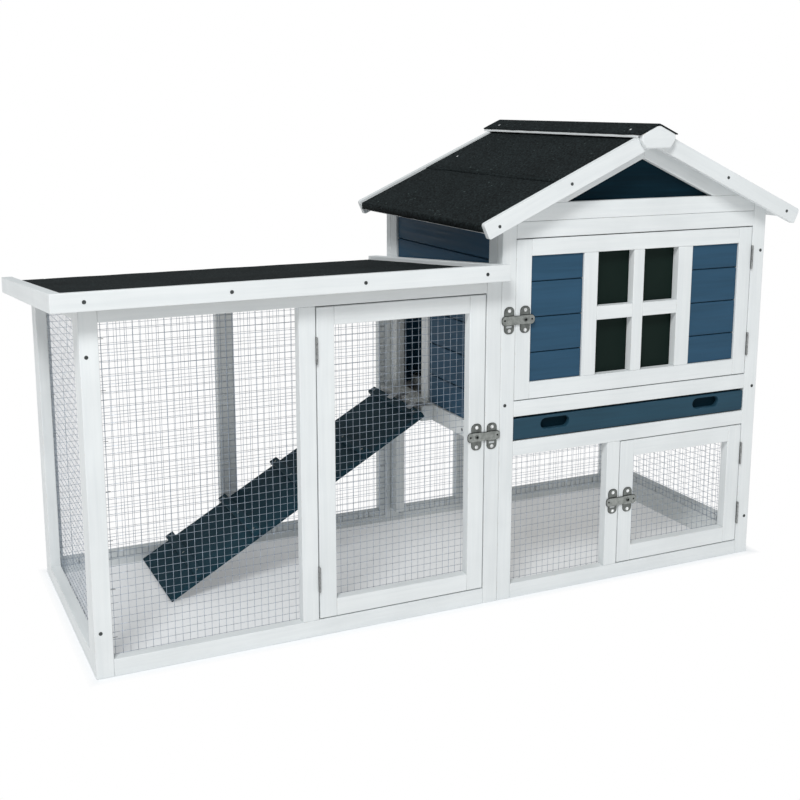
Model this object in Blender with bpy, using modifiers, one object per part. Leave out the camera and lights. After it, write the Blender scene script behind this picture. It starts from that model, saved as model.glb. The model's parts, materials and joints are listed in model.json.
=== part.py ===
"""A rabbit hutch: a gabled two-storey house with a wire run, a ramp and a pull-out tray.

Everything is laid out in metres from the front left foot of the run: X runs to the right
along the front, Y runs back and Z runs up. At the end the whole hutch is shifted so that
its origin is the middle of its footprint on the ground.
"""

import math

import bmesh
import bpy
from mathutils import Matrix, Vector

# Overall sizes
LENGTH = 1.350              # both fronts together
DEPTH = 0.500               # front face to back face of the frames
HOUSE_LEFT = 0.749          # where the run ends and the house begins
TIMBER = 0.030              # width of a post or rail
THICK = 0.020               # thickness of a frame
DOOR_GAP = 0.002            # slit all round a door
GAP = 0.0003                # clearance between pieces that touch

# Doors, each as left, right, bottom and top edge of the leaf
RUN_DOOR = (0.392, 0.7165, 0.0322, 0.5887)
SMALL_DOOR = (1.021, 1.3175, 0.0307, 0.2787)
HOUSE_DOOR = (0.7785, 1.3175, 0.3867, 0.6836)
DOOR_MEMBER = 0.032         # stiles and rails of the two wire doors
HOUSE_DOOR_THICK = 0.018

# House door: columns and rows of its six openings
DOOR_BOARDS_X = ((0.8107, 0.924), (1.1734, 1.2865))
DOOR_PANES_X = ((0.955, 1.036), (1.060, 1.140))
DOOR_BOARDS_Z = (0.4185, 0.6529)
DOOR_PANES_Z = ((0.4225, 0.524), (0.550, 0.653))
BOARD_RECESS = 0.004        # boards lie this far behind the face of their frame
BOARD_THICK = 0.008
PANE_THICK = 0.003
PANE_LAP = 0.012            # how far the pane runs behind the stiles

# Run
RUN_MID_POST = 0.360
RUN_BACK_POST = (0.3576, 0.3939)
RUN_BACK_BAY_RIGHT = 0.722
LEG_FOOT = 0.030            # height of the left house frame's feet, level with the bottom rails
RUN_RAIL_HEIGHT = 0.590     # underside of the top rail at the front

# Run roof: a tray of four boards round a felted panel, falling to the back
RUN_ROOF_FRONT = -0.0359
RUN_ROOF_BACK = 0.5477
RUN_ROOF_LEFT = -0.0462
RUN_ROOF_RIGHT = 0.7465
RUN_ROOF_TOP = 0.6456       # top of the boards at their front edge
RUN_ROOF_FALL = 0.0875      # drop per metre towards the back
ROOF_BOARD_THICK = 0.020
ROOF_BOARD_HEIGHT = 0.030
RUN_PANEL_DOWN = 0.008      # panel lies this far below the tops of the boards
RUN_PANEL_THICK = 0.009

# House front
MID_POST_LEFT = 0.990
FLOOR_RAIL_TOP = 0.3085
TRAY_OPENING = (0.777, 1.3205, FLOOR_RAIL_TOP, 0.3555)
FRAME_TOP = 0.7155
LEFT_POST_RIGHT = 0.778
RIGHT_POST_LEFT = 1.3195

# Gable roof; heights are at the ridge line and fall by ROOF_SLOPE per metre to each side
RIDGE_X = 1.049
ROOF_SLOPE = 0.4554
BARGE_TOP = 0.880
BARGE_HEIGHT = 0.0335
BARGE_REACH = 0.357
BARGE_THICK = 0.012
ROOF_FRONT = -0.032
ROOF_BACK = 0.527
EAVE_REACH = 0.349
FELT_TOP = 0.876
FELT_DEEP = 0.0033
PANEL_DEEP = 0.0132
GABLE_HOLE_TOP = 0.8235
GABLE_HOLE_BASE = 0.748
GABLE_FRAME_THICK = 0.014
CAP_FRONT = -0.0433
CAP_BACK = 0.5403
CAP_TOP = 0.8880
CAP_REACH = 0.042
BLOCK_REACH = 0.037
BLOCK_BOTTOM = 0.8425
BLOCK_CHAMFER = 0.006

# Side walls of the house
SIDE_BOARDS_Y = (0.050, 0.2975)
DOORWAY_Y = (0.3276, 0.450)
DOORWAY_TOP = 0.535
LEFT_RAIL = (0.285, 0.319)
SIDE_TOP_RAIL = 0.700
RIGHT_BOTTOM_RAIL = 0.060
BACK_POST = (0.9154, 0.945)

# Floor, tray and ramp
FLOOR_THICK = 0.009
TRAY_FRONT_THICK = 0.012
TRAY_FRONT_FACE = 0.002
TRAY_SLOTS_X = ((0.8384, 0.9024), (1.1922, 1.2574))
TRAY_SLOT_Z = (0.3245, 0.3455)
PAN = (0.785, 1.312, 0.0145, 0.450)
PAN_HEIGHT = 0.033
PAN_WALL = 0.0015
RAMP_RISE = 29.7            # degrees
RAMP_FOOT = 0.190           # where the lower edge of its end touches the ground
RAMP_TOP_X = 0.7195
RAMP_PIN = (0.7145, 0.3215)  # X and Z of its hinges' pins
RAMP_Y = (0.250, 0.470)
RAMP_THICK = 0.010
CLEATS = 5
CLEAT_FIRST = 0.0716        # middle of the lowest cleat, measured up the slope
CLEAT_STEP = 0.1315
CLEAT_WIDTH = 0.018
CLEAT_HEIGHT = 0.010
CLEAT_OVERHANG = 0.005
LEDGE_LEFT = 0.7215         # the ledge under the doorway, which the ramp hangs from
LEDGE_Y = (0.270, 0.4695)
LEDGE_Z = (0.287, 0.319)

# Wire mesh panels, nailed to the inner faces of the frames
MESH_THICK = 0.0012
MESH_LAP = 0.013
MESH_LAP_ROOM = 0.010       # the front panel starts this much further in, beside the end panel

# Hinges and latches
RUN_DOOR_HINGES = (0.515, 0.106)
SMALL_DOOR_HINGES = (0.2185, 0.0905)
HOUSE_DOOR_HINGES = (0.6235, 0.448)
HINGE_HEIGHT = 0.046
KNUCKLE_RADIUS = 0.0025
KNUCKLE_OUT = 0.003
LEAF_THICK = 0.0008
LEAF_DEPTH = 0.017
RUN_LATCH = ((0.7001, 0.3270), (0.7320, 0.3255))        # middles of its plate and its keeper
SMALL_LATCH = ((1.0401, 0.1592), (1.0055, 0.1600))
HOUSE_LATCH = ((0.7979, 0.5376), (0.7645, 0.5376))
LATCH_PLATE = (0.021, 0.050)
LATCH_PLATE_THICK = 0.0012
LATCH_ARM_THICK = 0.0018
LATCH_ARM_HEIGHT = 0.0185
LATCH_TAB = 0.0195          # how far an arm reaches behind its pivot
LATCH_NOSE = 0.0165         # how far an arm reaches past the middle of its keeper
RIVET_RADIUS = 0.0020
RIVET_CLEARANCE = 0.0002
RIVET_PLAY = 0.0009         # room for the arm between the plate and the rivet's head
RIVET_HEAD_RADIUS = 0.0035
RIVET_HEAD_THICK = 0.0010
RIVET_HEAD_LAP = 0.0001     # how far the head reaches onto its shank

# Modelling
WELD = 0.00001              # points closer than this are one point
FACING_UP = 0.5             # a face whose normal rises more than this faces up

# Materials: colour, roughness, metallic
WHITE_WOOD = ("white_wood", (0.80, 0.82, 0.82), 0.55, 0.0)
BLUE_WOOD = ("blue_wood", (0.05, 0.11, 0.18), 0.55, 0.0)
DARK_FELT = ("roof_felt", (0.02, 0.025, 0.03), 0.95, 0.0)
WIRE = ("wire", (0.55, 0.57, 0.58), 0.4, 1.0)
LATCH_METAL = ("latch_metal", (0.35, 0.36, 0.35), 0.4, 1.0)
DARK_PANE = ("dark_pane", (0.015, 0.018, 0.017), 0.2, 0.0)
RAMP_WOOD = ("ramp_wood", (0.02, 0.055, 0.075), 0.6, 0.0)
RAW_WOOD = ("raw_wood", (0.55, 0.42, 0.27), 0.7, 0.0)

# Which way an outline faces: front is across and up, side is back and up, level is in plan
FACINGS = {
    "front": ((math.radians(90), 0, 0), Vector((0, 1, 0))),
    "side": ((math.radians(90), 0, math.radians(90)), Vector((1, 0, 0))),
    "level": ((0, 0, 0), Vector((0, 0, 1))),
}


# ---------------------------------------------------------------- tools

def clear_scene():
    for obj in list(bpy.data.objects):
        bpy.data.objects.remove(obj, do_unlink=True)


def make_collection(name):
    collection = bpy.data.collections.new(name)
    bpy.context.scene.collection.children.link(collection)
    return collection


def make_material(owner, look):
    kind, colour, roughness, metallic = look
    material = bpy.data.materials.new(owner + "_" + kind)
    material.use_nodes = True
    shader = material.node_tree.nodes["Principled BSDF"]
    shader.inputs["Base Color"].default_value = (*colour, 1.0)
    shader.inputs["Roughness"].default_value = roughness
    shader.inputs["Metallic"].default_value = metallic
    material.diffuse_color = (*colour, 1.0)
    return material


def hang_on(obj, pivot):
    """Parent a piece to a pivot empty without moving it; the empties only carry offsets."""
    obj.parent = pivot["empty"]
    obj.matrix_parent_inverse = Matrix.Translation(pivot["place"]).inverted()


def make_pivot(name, place, parent=None):
    """An empty on a joint's axis, which carries the pieces that turn or slide there."""
    empty = bpy.data.objects.new(name, None)
    empty.location = place
    HUTCH.objects.link(empty)
    pivot = {"empty": empty, "place": Vector(place)}
    if parent:
        hang_on(empty, parent)
    return pivot


def box_outline(left, right, bottom, top):
    return [(left, bottom), (right, bottom), (right, top), (left, top)]


def arc(centre, radius, start, end, steps):
    """Points along an arc, angles in degrees."""
    points = []
    for step in range(steps + 1):
        angle = math.radians(start + (end - start) * step / steps)
        points.append((centre[0] + radius * math.cos(angle), centre[1] + radius * math.sin(angle)))
    return points


def round_ended(left, right, bottom, top):
    """A slot or strip with half-round ends along its longer side."""
    steps = 8
    if right - left > top - bottom:
        radius = (top - bottom) / 2
        middle = (top + bottom) / 2
        right_end = arc((right - radius, middle), radius, -90, 90, steps)
        left_end = arc((left + radius, middle), radius, 90, 270, steps)
        return right_end + left_end
    radius = (right - left) / 2
    middle = (left + right) / 2
    upper_end = arc((middle, top - radius), radius, 0, 180, steps)
    lower_end = arc((middle, bottom + radius), radius, 180, 360, steps)
    return upper_end + lower_end


def flat_piece(name, facing, outlines, start, thickness, look, pivot):
    """A flat piece cut to its first outline, with the other outlines as holes through it."""
    curve = bpy.data.curves.new(name, "CURVE")
    curve.dimensions = "2D"
    curve.fill_mode = "BOTH"
    curve.extrude = thickness / 2
    for outline in outlines:
        spline = curve.splines.new("POLY")
        spline.points.add(len(outline) - 1)
        for point, (across, up) in zip(spline.points, outline):
            point.co = (across, up, 0, 1)
        spline.use_cyclic_u = True
    curve.materials.append(make_material(name, look))
    obj = bpy.data.objects.new(name, curve)
    rotation, direction = FACINGS[facing]
    obj.rotation_euler = rotation
    obj.location = direction * (start + thickness / 2)
    HUTCH.objects.link(obj)
    hang_on(obj, pivot)
    return obj


def move_to(obj, collection):
    for owner in list(obj.users_collection):
        owner.objects.unlink(obj)
    collection.objects.link(obj)


def box_mesh(name, low, high, collection):
    """A box from its two corners, its size applied to the mesh."""
    low = Vector(low)
    high = Vector(high)
    bpy.ops.mesh.primitive_cube_add(size=1, location=(low + high) / 2)
    obj = bpy.context.object
    obj.name = name
    size = high - low
    obj.data.transform(Matrix.Diagonal((*size, 1)))
    move_to(obj, collection)
    return obj


def rod_mesh(name, start, length, radius, collection):
    """A round rod that runs back along Y from its start point."""
    middle = Vector(start) + Vector((0, length / 2, 0))
    bpy.ops.mesh.primitive_cylinder_add(vertices=16, radius=radius, depth=length, location=middle,
                                        rotation=(math.radians(90), 0, 0))
    obj = bpy.context.object
    obj.name = name
    move_to(obj, collection)
    return obj


def join_to(obj, other):
    """Unite another mesh with this one; the other becomes a hidden guide."""
    other.hide_render = True
    other.display_type = "WIRE"
    union = obj.modifiers.new("join_" + other.name, "BOOLEAN")
    union.operation = "UNION"
    union.solver = "EXACT"
    union.object = other


# ---------------------------------------------------------------- roof heights

def run_roof_height(back):
    """Top of the run roof's boards at a distance from the front."""
    return RUN_ROOF_TOP - RUN_ROOF_FALL * (back - RUN_ROOF_FRONT)


def under_run_panel(back):
    return run_roof_height(back) - RUN_PANEL_DOWN - RUN_PANEL_THICK - GAP


def under_run_board(back):
    return run_roof_height(back) - ROOF_BOARD_HEIGHT - GAP


def gable_height(top, across):
    """Height at a place across the house of a line that peaks at the ridge."""
    return top - ROOF_SLOPE * abs(across - RIDGE_X)


def under_roof(across):
    return gable_height(FELT_TOP - FELT_DEEP - PANEL_DEEP - 2 * GAP, across)


def under_roof_points(right, left):
    """The underside of the gable roof, from right to left."""
    points = [(right, under_roof(right))]
    if left < RIDGE_X < right:
        points.append((RIDGE_X, under_roof(RIDGE_X)))
    points.append((left, under_roof(left)))
    return points


# ---------------------------------------------------------------- run

def door_opening(door):
    left, right, bottom, top = door
    return box_outline(left - DOOR_GAP, right + DOOR_GAP, bottom - DOOR_GAP, top + DOOR_GAP)


def run_long_frame(name, front, holes):
    """Front or back frame of the run, notched at its right end for the roof's right board."""
    back = front + THICK
    right = HOUSE_LEFT - GAP
    notch = RUN_ROOF_RIGHT - ROOF_BOARD_THICK - GAP
    outline = [(0, 0), (right, 0), (right, under_run_board(back)), (notch, under_run_board(back)),
               (notch, under_run_panel(back)), (0, under_run_panel(back))]
    flat_piece(name, "front", [outline] + holes, front, THICK, WHITE_WOOD, ROOT)


def build_run_frames():
    left_bay = box_outline(TIMBER, RUN_MID_POST, TIMBER, RUN_RAIL_HEIGHT)
    run_long_frame("run_front_frame", 0, [left_bay, door_opening(RUN_DOOR)])
    back_rail = under_run_panel(DEPTH) - TIMBER
    first_bay = box_outline(TIMBER, RUN_BACK_POST[0], TIMBER, back_rail)
    second_bay = box_outline(RUN_BACK_POST[1], RUN_BACK_BAY_RIGHT, TIMBER, back_rail)
    run_long_frame("run_back_frame", DEPTH - THICK, [first_bay, second_bay])
    front = THICK + GAP
    back = DEPTH - THICK - GAP
    outer = [(front, 0), (back, 0), (back, under_run_panel(back)), (front, under_run_panel(front))]
    hole_front = front + TIMBER
    hole_back = back - TIMBER
    hole = [(hole_front, TIMBER), (hole_back, TIMBER),
            (hole_back, under_run_panel(hole_back) - TIMBER),
            (hole_front, under_run_panel(hole_front) - TIMBER)]
    flat_piece("run_end_frame", "side", [outer, hole], 0, THICK, WHITE_WOOD, ROOT)


def build_run_roof():
    inner_front = RUN_ROOF_FRONT + ROOF_BOARD_THICK
    inner_back = RUN_ROOF_BACK - ROOF_BOARD_THICK
    inner_left = RUN_ROOF_LEFT + ROOF_BOARD_THICK
    inner_right = RUN_ROOF_RIGHT - ROOF_BOARD_THICK

    def sloping(front, back, down, height):
        return [(front, run_roof_height(front) - down - height),
                (back, run_roof_height(back) - down - height),
                (back, run_roof_height(back) - down), (front, run_roof_height(front) - down)]

    length = RUN_ROOF_RIGHT - RUN_ROOF_LEFT
    front_board = sloping(RUN_ROOF_FRONT, inner_front, 0, ROOF_BOARD_HEIGHT)
    back_board = sloping(inner_back, RUN_ROOF_BACK, 0, ROOF_BOARD_HEIGHT)
    side_board = sloping(inner_front + GAP, inner_back - GAP, 0, ROOF_BOARD_HEIGHT)
    panel = sloping(inner_front + GAP, inner_back - GAP, RUN_PANEL_DOWN, RUN_PANEL_THICK)
    flat_piece("run_roof_board_front", "side", [front_board], RUN_ROOF_LEFT, length, WHITE_WOOD, ROOT)
    flat_piece("run_roof_board_back", "side", [back_board], RUN_ROOF_LEFT, length, WHITE_WOOD, ROOT)
    flat_piece("run_roof_board_left", "side", [side_board], RUN_ROOF_LEFT, ROOF_BOARD_THICK,
               WHITE_WOOD, ROOT)
    flat_piece("run_roof_board_right", "side", [side_board], inner_right, ROOF_BOARD_THICK,
               WHITE_WOOD, ROOT)
    flat_piece("run_roof_panel", "side", [panel], inner_left + GAP, inner_right - inner_left - 2 * GAP,
               DARK_FELT, ROOT)


# ---------------------------------------------------------------- house

def build_house_frames():
    right = LENGTH
    left = HOUSE_LEFT
    outer = ([(left, 0), (right, 0)] + under_roof_points(right, RIGHT_POST_LEFT)
             + [(RIGHT_POST_LEFT, FRAME_TOP), (LEFT_POST_RIGHT, FRAME_TOP)]
             + under_roof_points(LEFT_POST_RIGHT, left))
    fixed_bay = box_outline(left + TIMBER, MID_POST_LEFT, TIMBER, SMALL_DOOR[3])
    holes = [fixed_bay, door_opening(SMALL_DOOR), box_outline(*TRAY_OPENING), door_opening(HOUSE_DOOR)]
    flat_piece("house_front_frame", "front", [outer] + holes, 0, THICK, WHITE_WOOD, ROOT)

    front = THICK + GAP
    back = DEPTH - THICK - GAP
    side_top = min(under_roof(left), under_roof(right))
    board_front, board_back = SIDE_BOARDS_Y
    door_front, door_back = DOORWAY_Y
    legs = [(front, LEG_FOOT), (board_front, LEG_FOOT), (board_front, LEFT_RAIL[0]),
            (door_back, LEFT_RAIL[0]), (door_back, LEG_FOOT), (back, LEG_FOOT), (back, side_top),
            (front, side_top)]
    doorway = box_outline(door_front, door_back, LEFT_RAIL[1], DOORWAY_TOP)
    header_top = DOORWAY_TOP + TIMBER
    boards = [(board_front, LEFT_RAIL[1]), (board_back, LEFT_RAIL[1]), (board_back, header_top),
              (door_back, header_top), (door_back, SIDE_TOP_RAIL), (board_front, SIDE_TOP_RAIL)]
    outline_piece = flat_piece("house_left_outline", "side", [legs, doorway, boards],
                               left, THICK, WHITE_WOOD, ROOT)
    frame = mesh_from_curve(outline_piece, "house_left_frame", ROOT)
    ledge = box_mesh("ramp_ledge", (LEDGE_LEFT, LEDGE_Y[0], LEDGE_Z[0]),
                     (left + THICK / 2, LEDGE_Y[1], LEDGE_Z[1]), GUIDES)
    join_to(frame, ledge)
    hang_on(ledge, ROOT)
    recess = left + BOARD_RECESS
    inset = [(board_front + GAP, LEFT_RAIL[1] + GAP), (board_back - GAP, LEFT_RAIL[1] + GAP),
             (board_back - GAP, header_top + GAP), (door_back - GAP, header_top + GAP),
             (door_back - GAP, SIDE_TOP_RAIL - GAP), (board_front + GAP, SIDE_TOP_RAIL - GAP)]
    flat_piece("left_wall_boards", "side", [inset], recess, BOARD_THICK, BLUE_WOOD, ROOT)

    outer = box_outline(front, back, 0, side_top)
    wire_bay = box_outline(board_front, door_back, RIGHT_BOTTOM_RAIL, LEFT_RAIL[0])
    board_bay = box_outline(board_front, door_back, LEFT_RAIL[1], SIDE_TOP_RAIL)
    flat_piece("house_right_frame", "side", [outer, wire_bay, board_bay], right - THICK, THICK,
               WHITE_WOOD, ROOT)
    boards = box_outline(board_front + GAP, door_back - GAP, LEFT_RAIL[1] + GAP, SIDE_TOP_RAIL - GAP)
    flat_piece("right_wall_boards", "side", [boards], right - BOARD_RECESS - BOARD_THICK, BOARD_THICK,
               BLUE_WOOD, ROOT)

    outer = ([(left, 0), (right, 0)] + under_roof_points(right, RIGHT_POST_LEFT)
             + [(RIGHT_POST_LEFT, LEFT_RAIL[1]), (LEFT_POST_RIGHT, LEFT_RAIL[1])]
             + under_roof_points(LEFT_POST_RIGHT, left))
    first_bay = box_outline(LEFT_POST_RIGHT, BACK_POST[0], TIMBER, LEFT_RAIL[0])
    second_bay = box_outline(BACK_POST[1], RIGHT_POST_LEFT, TIMBER, LEFT_RAIL[0])
    back_face = DEPTH - THICK
    flat_piece("house_back_frame", "front", [outer, first_bay, second_bay], back_face, THICK,
               WHITE_WOOD, ROOT)
    inner_left = LEFT_POST_RIGHT + GAP
    inner_right = RIGHT_POST_LEFT - GAP
    wall = ([(inner_left, LEFT_RAIL[1] + GAP), (inner_right, LEFT_RAIL[1] + GAP)]
            + under_roof_points(inner_right, inner_left))
    flat_piece("back_wall_boards", "front", [wall], DEPTH - BOARD_RECESS - BOARD_THICK, BOARD_THICK,
               BLUE_WOOD, ROOT)


def build_house_floor():
    inner = THICK + GAP
    outline = box_outline(HOUSE_LEFT + inner, LENGTH - inner, inner, DEPTH - inner)
    flat_piece("house_floor", "level", [outline], FLOOR_RAIL_TOP - FLOOR_THICK, FLOOR_THICK,
               RAW_WOOD, ROOT)


def build_gable_front():
    """The white board and rafters between the posts, and the blue triangle behind them."""
    left = LEFT_POST_RIGHT + GAP
    right = RIGHT_POST_LEFT - GAP
    bottom = FRAME_TOP + GAP
    outer = [(left, bottom), (right, bottom)] + under_roof_points(right, left)
    reach = (GABLE_HOLE_TOP - GABLE_HOLE_BASE) / ROOF_SLOPE
    hole = [(RIDGE_X - reach, GABLE_HOLE_BASE), (RIDGE_X + reach, GABLE_HOLE_BASE),
            (RIDGE_X, GABLE_HOLE_TOP)]
    flat_piece("gable_frame_front", "front", [outer, hole], 0, GABLE_FRAME_THICK, WHITE_WOOD, ROOT)
    flat_piece("gable_panel_front", "front", [outer], GABLE_FRAME_THICK + GAP, BOARD_THICK,
               BLUE_WOOD, ROOT)


def roof_side_outline(side, top, deep, reach):
    """One slope of the gable roof in section, with an upright cut at the ridge and the eave."""
    ridge = RIDGE_X + side * GAP / 2
    eave = RIDGE_X + side * reach
    points = [(ridge, gable_height(top, ridge) - deep), (eave, gable_height(top, eave) - deep),
              (eave, gable_height(top, eave)), (ridge, gable_height(top, ridge))]
    return points


def barge_outline(side):
    """A bargeboard seen from the front: square-cut at its foot, upright at the ridge."""
    ridge = RIDGE_X + side * GAP / 2
    tip = RIDGE_X + side * BARGE_REACH
    inward = BARGE_HEIGHT * ROOF_SLOPE / (1 + ROOF_SLOPE ** 2)
    foot = tip - side * inward
    return [(ridge, gable_height(BARGE_TOP, ridge) - BARGE_HEIGHT),
            (foot, gable_height(BARGE_TOP, foot) - BARGE_HEIGHT),
            (tip, gable_height(BARGE_TOP, tip)), (ridge, gable_height(BARGE_TOP, ridge))]


def build_house_roof():
    panel_front = ROOF_FRONT + BARGE_THICK + GAP
    panel_length = ROOF_BACK - BARGE_THICK - GAP - panel_front
    for side, word in ((-1, "left"), (1, "right")):
        panel = roof_side_outline(side, FELT_TOP - FELT_DEEP - GAP, PANEL_DEEP, EAVE_REACH)
        felt = roof_side_outline(side, FELT_TOP, FELT_DEEP, EAVE_REACH)
        flat_piece("roof_panel_" + word, "front", [panel], panel_front, panel_length, WHITE_WOOD, ROOT)
        flat_piece("roof_felt_" + word, "front", [felt], panel_front, panel_length, DARK_FELT, ROOT)
        barge = barge_outline(side)
        flat_piece("bargeboard_front_" + word, "front", [barge], ROOF_FRONT, BARGE_THICK,
                   WHITE_WOOD, ROOT)
        flat_piece("bargeboard_back_" + word, "front", [barge], ROOF_BACK - BARGE_THICK, BARGE_THICK,
                   WHITE_WOOD, ROOT)
    underside = BARGE_TOP + GAP
    left = RIDGE_X - CAP_REACH
    right = RIDGE_X + CAP_REACH
    cap = [(left, gable_height(underside, left)), (RIDGE_X, underside),
           (right, gable_height(underside, right)), (right, gable_height(CAP_TOP, right)),
           (RIDGE_X, CAP_TOP), (left, gable_height(CAP_TOP, left))]
    flat_piece("ridge_cap", "front", [cap], CAP_FRONT, CAP_BACK - CAP_FRONT, DARK_FELT, ROOT)
    left = RIDGE_X - BLOCK_REACH
    right = RIDGE_X + BLOCK_REACH
    block = [(left + BLOCK_CHAMFER, BLOCK_BOTTOM), (right - BLOCK_CHAMFER, BLOCK_BOTTOM),
             (right, BLOCK_BOTTOM + BLOCK_CHAMFER), (right, gable_height(BARGE_TOP, right)),
             (RIDGE_X, BARGE_TOP), (left, gable_height(BARGE_TOP, left)),
             (left, BLOCK_BOTTOM + BLOCK_CHAMFER)]
    block_thick = ROOF_FRONT - CAP_FRONT - GAP
    flat_piece("ridge_block_front", "front", [block], CAP_FRONT, block_thick, WHITE_WOOD, ROOT)


# ---------------------------------------------------------------- wire mesh

def mesh_panel(name, facing, hole, start, pivot):
    """A wire panel over a four-cornered opening, lapping onto its frame all round."""
    (left, bottom), (right, _), (_, right_top), (_, left_top) = hole
    outline = [(left - MESH_LAP, bottom - MESH_LAP), (right + MESH_LAP, bottom - MESH_LAP),
               (right + MESH_LAP, right_top + MESH_LAP), (left - MESH_LAP, left_top + MESH_LAP)]
    flat_piece(name, facing, [outline], start, MESH_THICK, WIRE, pivot)


def build_fixed_meshes():
    behind_front = THICK + GAP
    before_back = DEPTH - THICK - GAP - MESH_THICK
    clear = THICK + GAP + MESH_LAP
    beside_end_mesh = clear + MESH_LAP_ROOM
    run_front = box_outline(beside_end_mesh, RUN_MID_POST, TIMBER, RUN_RAIL_HEIGHT)
    mesh_panel("run_front_mesh", "front", run_front, behind_front, ROOT)
    run_top = under_run_panel(DEPTH) - TIMBER
    run_back = box_outline(clear, RUN_BACK_BAY_RIGHT, TIMBER, run_top)
    mesh_panel("run_back_mesh", "front", run_back, before_back, ROOT)
    front = THICK + TIMBER
    back = DEPTH - THICK - TIMBER
    run_end = [(front, TIMBER), (back, TIMBER), (back, under_run_panel(back) - TIMBER),
               (front, under_run_panel(front) - TIMBER)]
    mesh_panel("run_end_mesh", "side", run_end, THICK + GAP, ROOT)
    low_top = FLOOR_RAIL_TOP - FLOOR_THICK - MESH_LAP - GAP
    house_front = box_outline(HOUSE_LEFT + clear, MID_POST_LEFT, TIMBER, low_top)
    mesh_panel("house_front_mesh", "front", house_front, behind_front, ROOT)
    house_back = box_outline(HOUSE_LEFT + clear, LENGTH - clear, TIMBER, low_top)
    mesh_panel("house_back_mesh", "front", house_back, before_back, ROOT)
    house_right = box_outline(front, back, RIGHT_BOTTOM_RAIL, low_top)
    mesh_panel("house_right_mesh", "side", house_right, LENGTH - THICK - GAP - MESH_THICK, ROOT)


# ---------------------------------------------------------------- doors

def hinge(name, gap_left, gap_right, post_on_right, middle):
    """A knuckle in front of a door's slit, with a leaf against the post inside the slit."""
    centre = (gap_left + gap_right) / 2
    if post_on_right:
        near = gap_right - GAP - LEAF_THICK
        far = gap_right - GAP
    else:
        near = gap_left + GAP
        far = gap_left + GAP + LEAF_THICK
    far_angle = math.degrees(math.acos((far - centre) / KNUCKLE_RADIUS))
    near_angle = math.degrees(math.acos((near - centre) / KNUCKLE_RADIUS))
    round_part = arc((centre, -KNUCKLE_OUT), KNUCKLE_RADIUS, near_angle, 360 + far_angle, 20)
    outline = round_part + [(far, LEAF_DEPTH), (near, LEAF_DEPTH)]
    flat_piece(name, "level", [outline], middle - HINGE_HEIGHT / 2, HINGE_HEIGHT, LATCH_METAL, ROOT)


def door_hinges(name, door, post_on_right, heights):
    edge = door[1] if post_on_right else door[0] - DOOR_GAP
    for word, middle in zip(("upper", "lower"), heights):
        hinge(name + "_hinge_" + word, edge, edge + DOOR_GAP, post_on_right, middle)


def door_pivot(name, door, post_on_right):
    """The hinge line: in the middle of the slit, at the knuckles' centre."""
    across = door[1] + DOOR_GAP / 2 if post_on_right else door[0] - DOOR_GAP / 2
    return make_pivot(name + "_pivot", (across, -KNUCKLE_OUT, 0), ROOT)


def wire_door(name, door, pivot):
    left, right, bottom, top = door
    hole = box_outline(left + DOOR_MEMBER, right - DOOR_MEMBER, bottom + DOOR_MEMBER,
                       top - DOOR_MEMBER)
    flat_piece(name + "_frame", "front", [box_outline(*door), hole], 0, THICK, WHITE_WOOD, pivot)
    mesh_panel(name + "_mesh", "front", hole, THICK + GAP, pivot)


def house_door(pivot):
    holes = []
    for left, right in DOOR_BOARDS_X:
        holes.append(box_outline(left, right, *DOOR_BOARDS_Z))
    for left, right in DOOR_PANES_X:
        for bottom, top in DOOR_PANES_Z:
            holes.append(box_outline(left, right, bottom, top))
    flat_piece("house_door_frame", "front", [box_outline(*HOUSE_DOOR)] + holes, 0, HOUSE_DOOR_THICK,
               WHITE_WOOD, pivot)
    bottom, top = DOOR_BOARDS_Z
    for word, (left, right) in zip(("left", "right"), DOOR_BOARDS_X):
        boards = box_outline(left + GAP, right - GAP, bottom + GAP, top - GAP)
        flat_piece("door_boards_" + word, "front", [boards], BOARD_RECESS, BOARD_THICK, BLUE_WOOD, pivot)
    pane = box_outline(DOOR_PANES_X[0][0] - PANE_LAP, DOOR_PANES_X[1][1] + PANE_LAP,
                       DOOR_PANES_Z[0][0] - PANE_LAP, DOOR_PANES_Z[1][1] + PANE_LAP)
    flat_piece("door_window_pane", "front", [pane], HOUSE_DOOR_THICK + GAP, PANE_THICK, DARK_PANE, pivot)


# ---------------------------------------------------------------- latches

def rivet(plate, name, across, up, back, reach, pivot):
    """The rivet an arm turns on: a shank through the arm and a head in front of it."""
    head_at = back - reach - RIVET_HEAD_THICK
    shank = rod_mesh(name + "_shank", (across, back - reach, up), reach + LATCH_PLATE_THICK / 2,
                     RIVET_RADIUS, GUIDES)
    head = rod_mesh(name + "_head", (across, head_at, up), RIVET_HEAD_THICK + RIVET_HEAD_LAP,
                    RIVET_HEAD_RADIUS, GUIDES)
    for rod in (shank, head):
        join_to(plate, rod)
        hang_on(rod, pivot)


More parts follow.
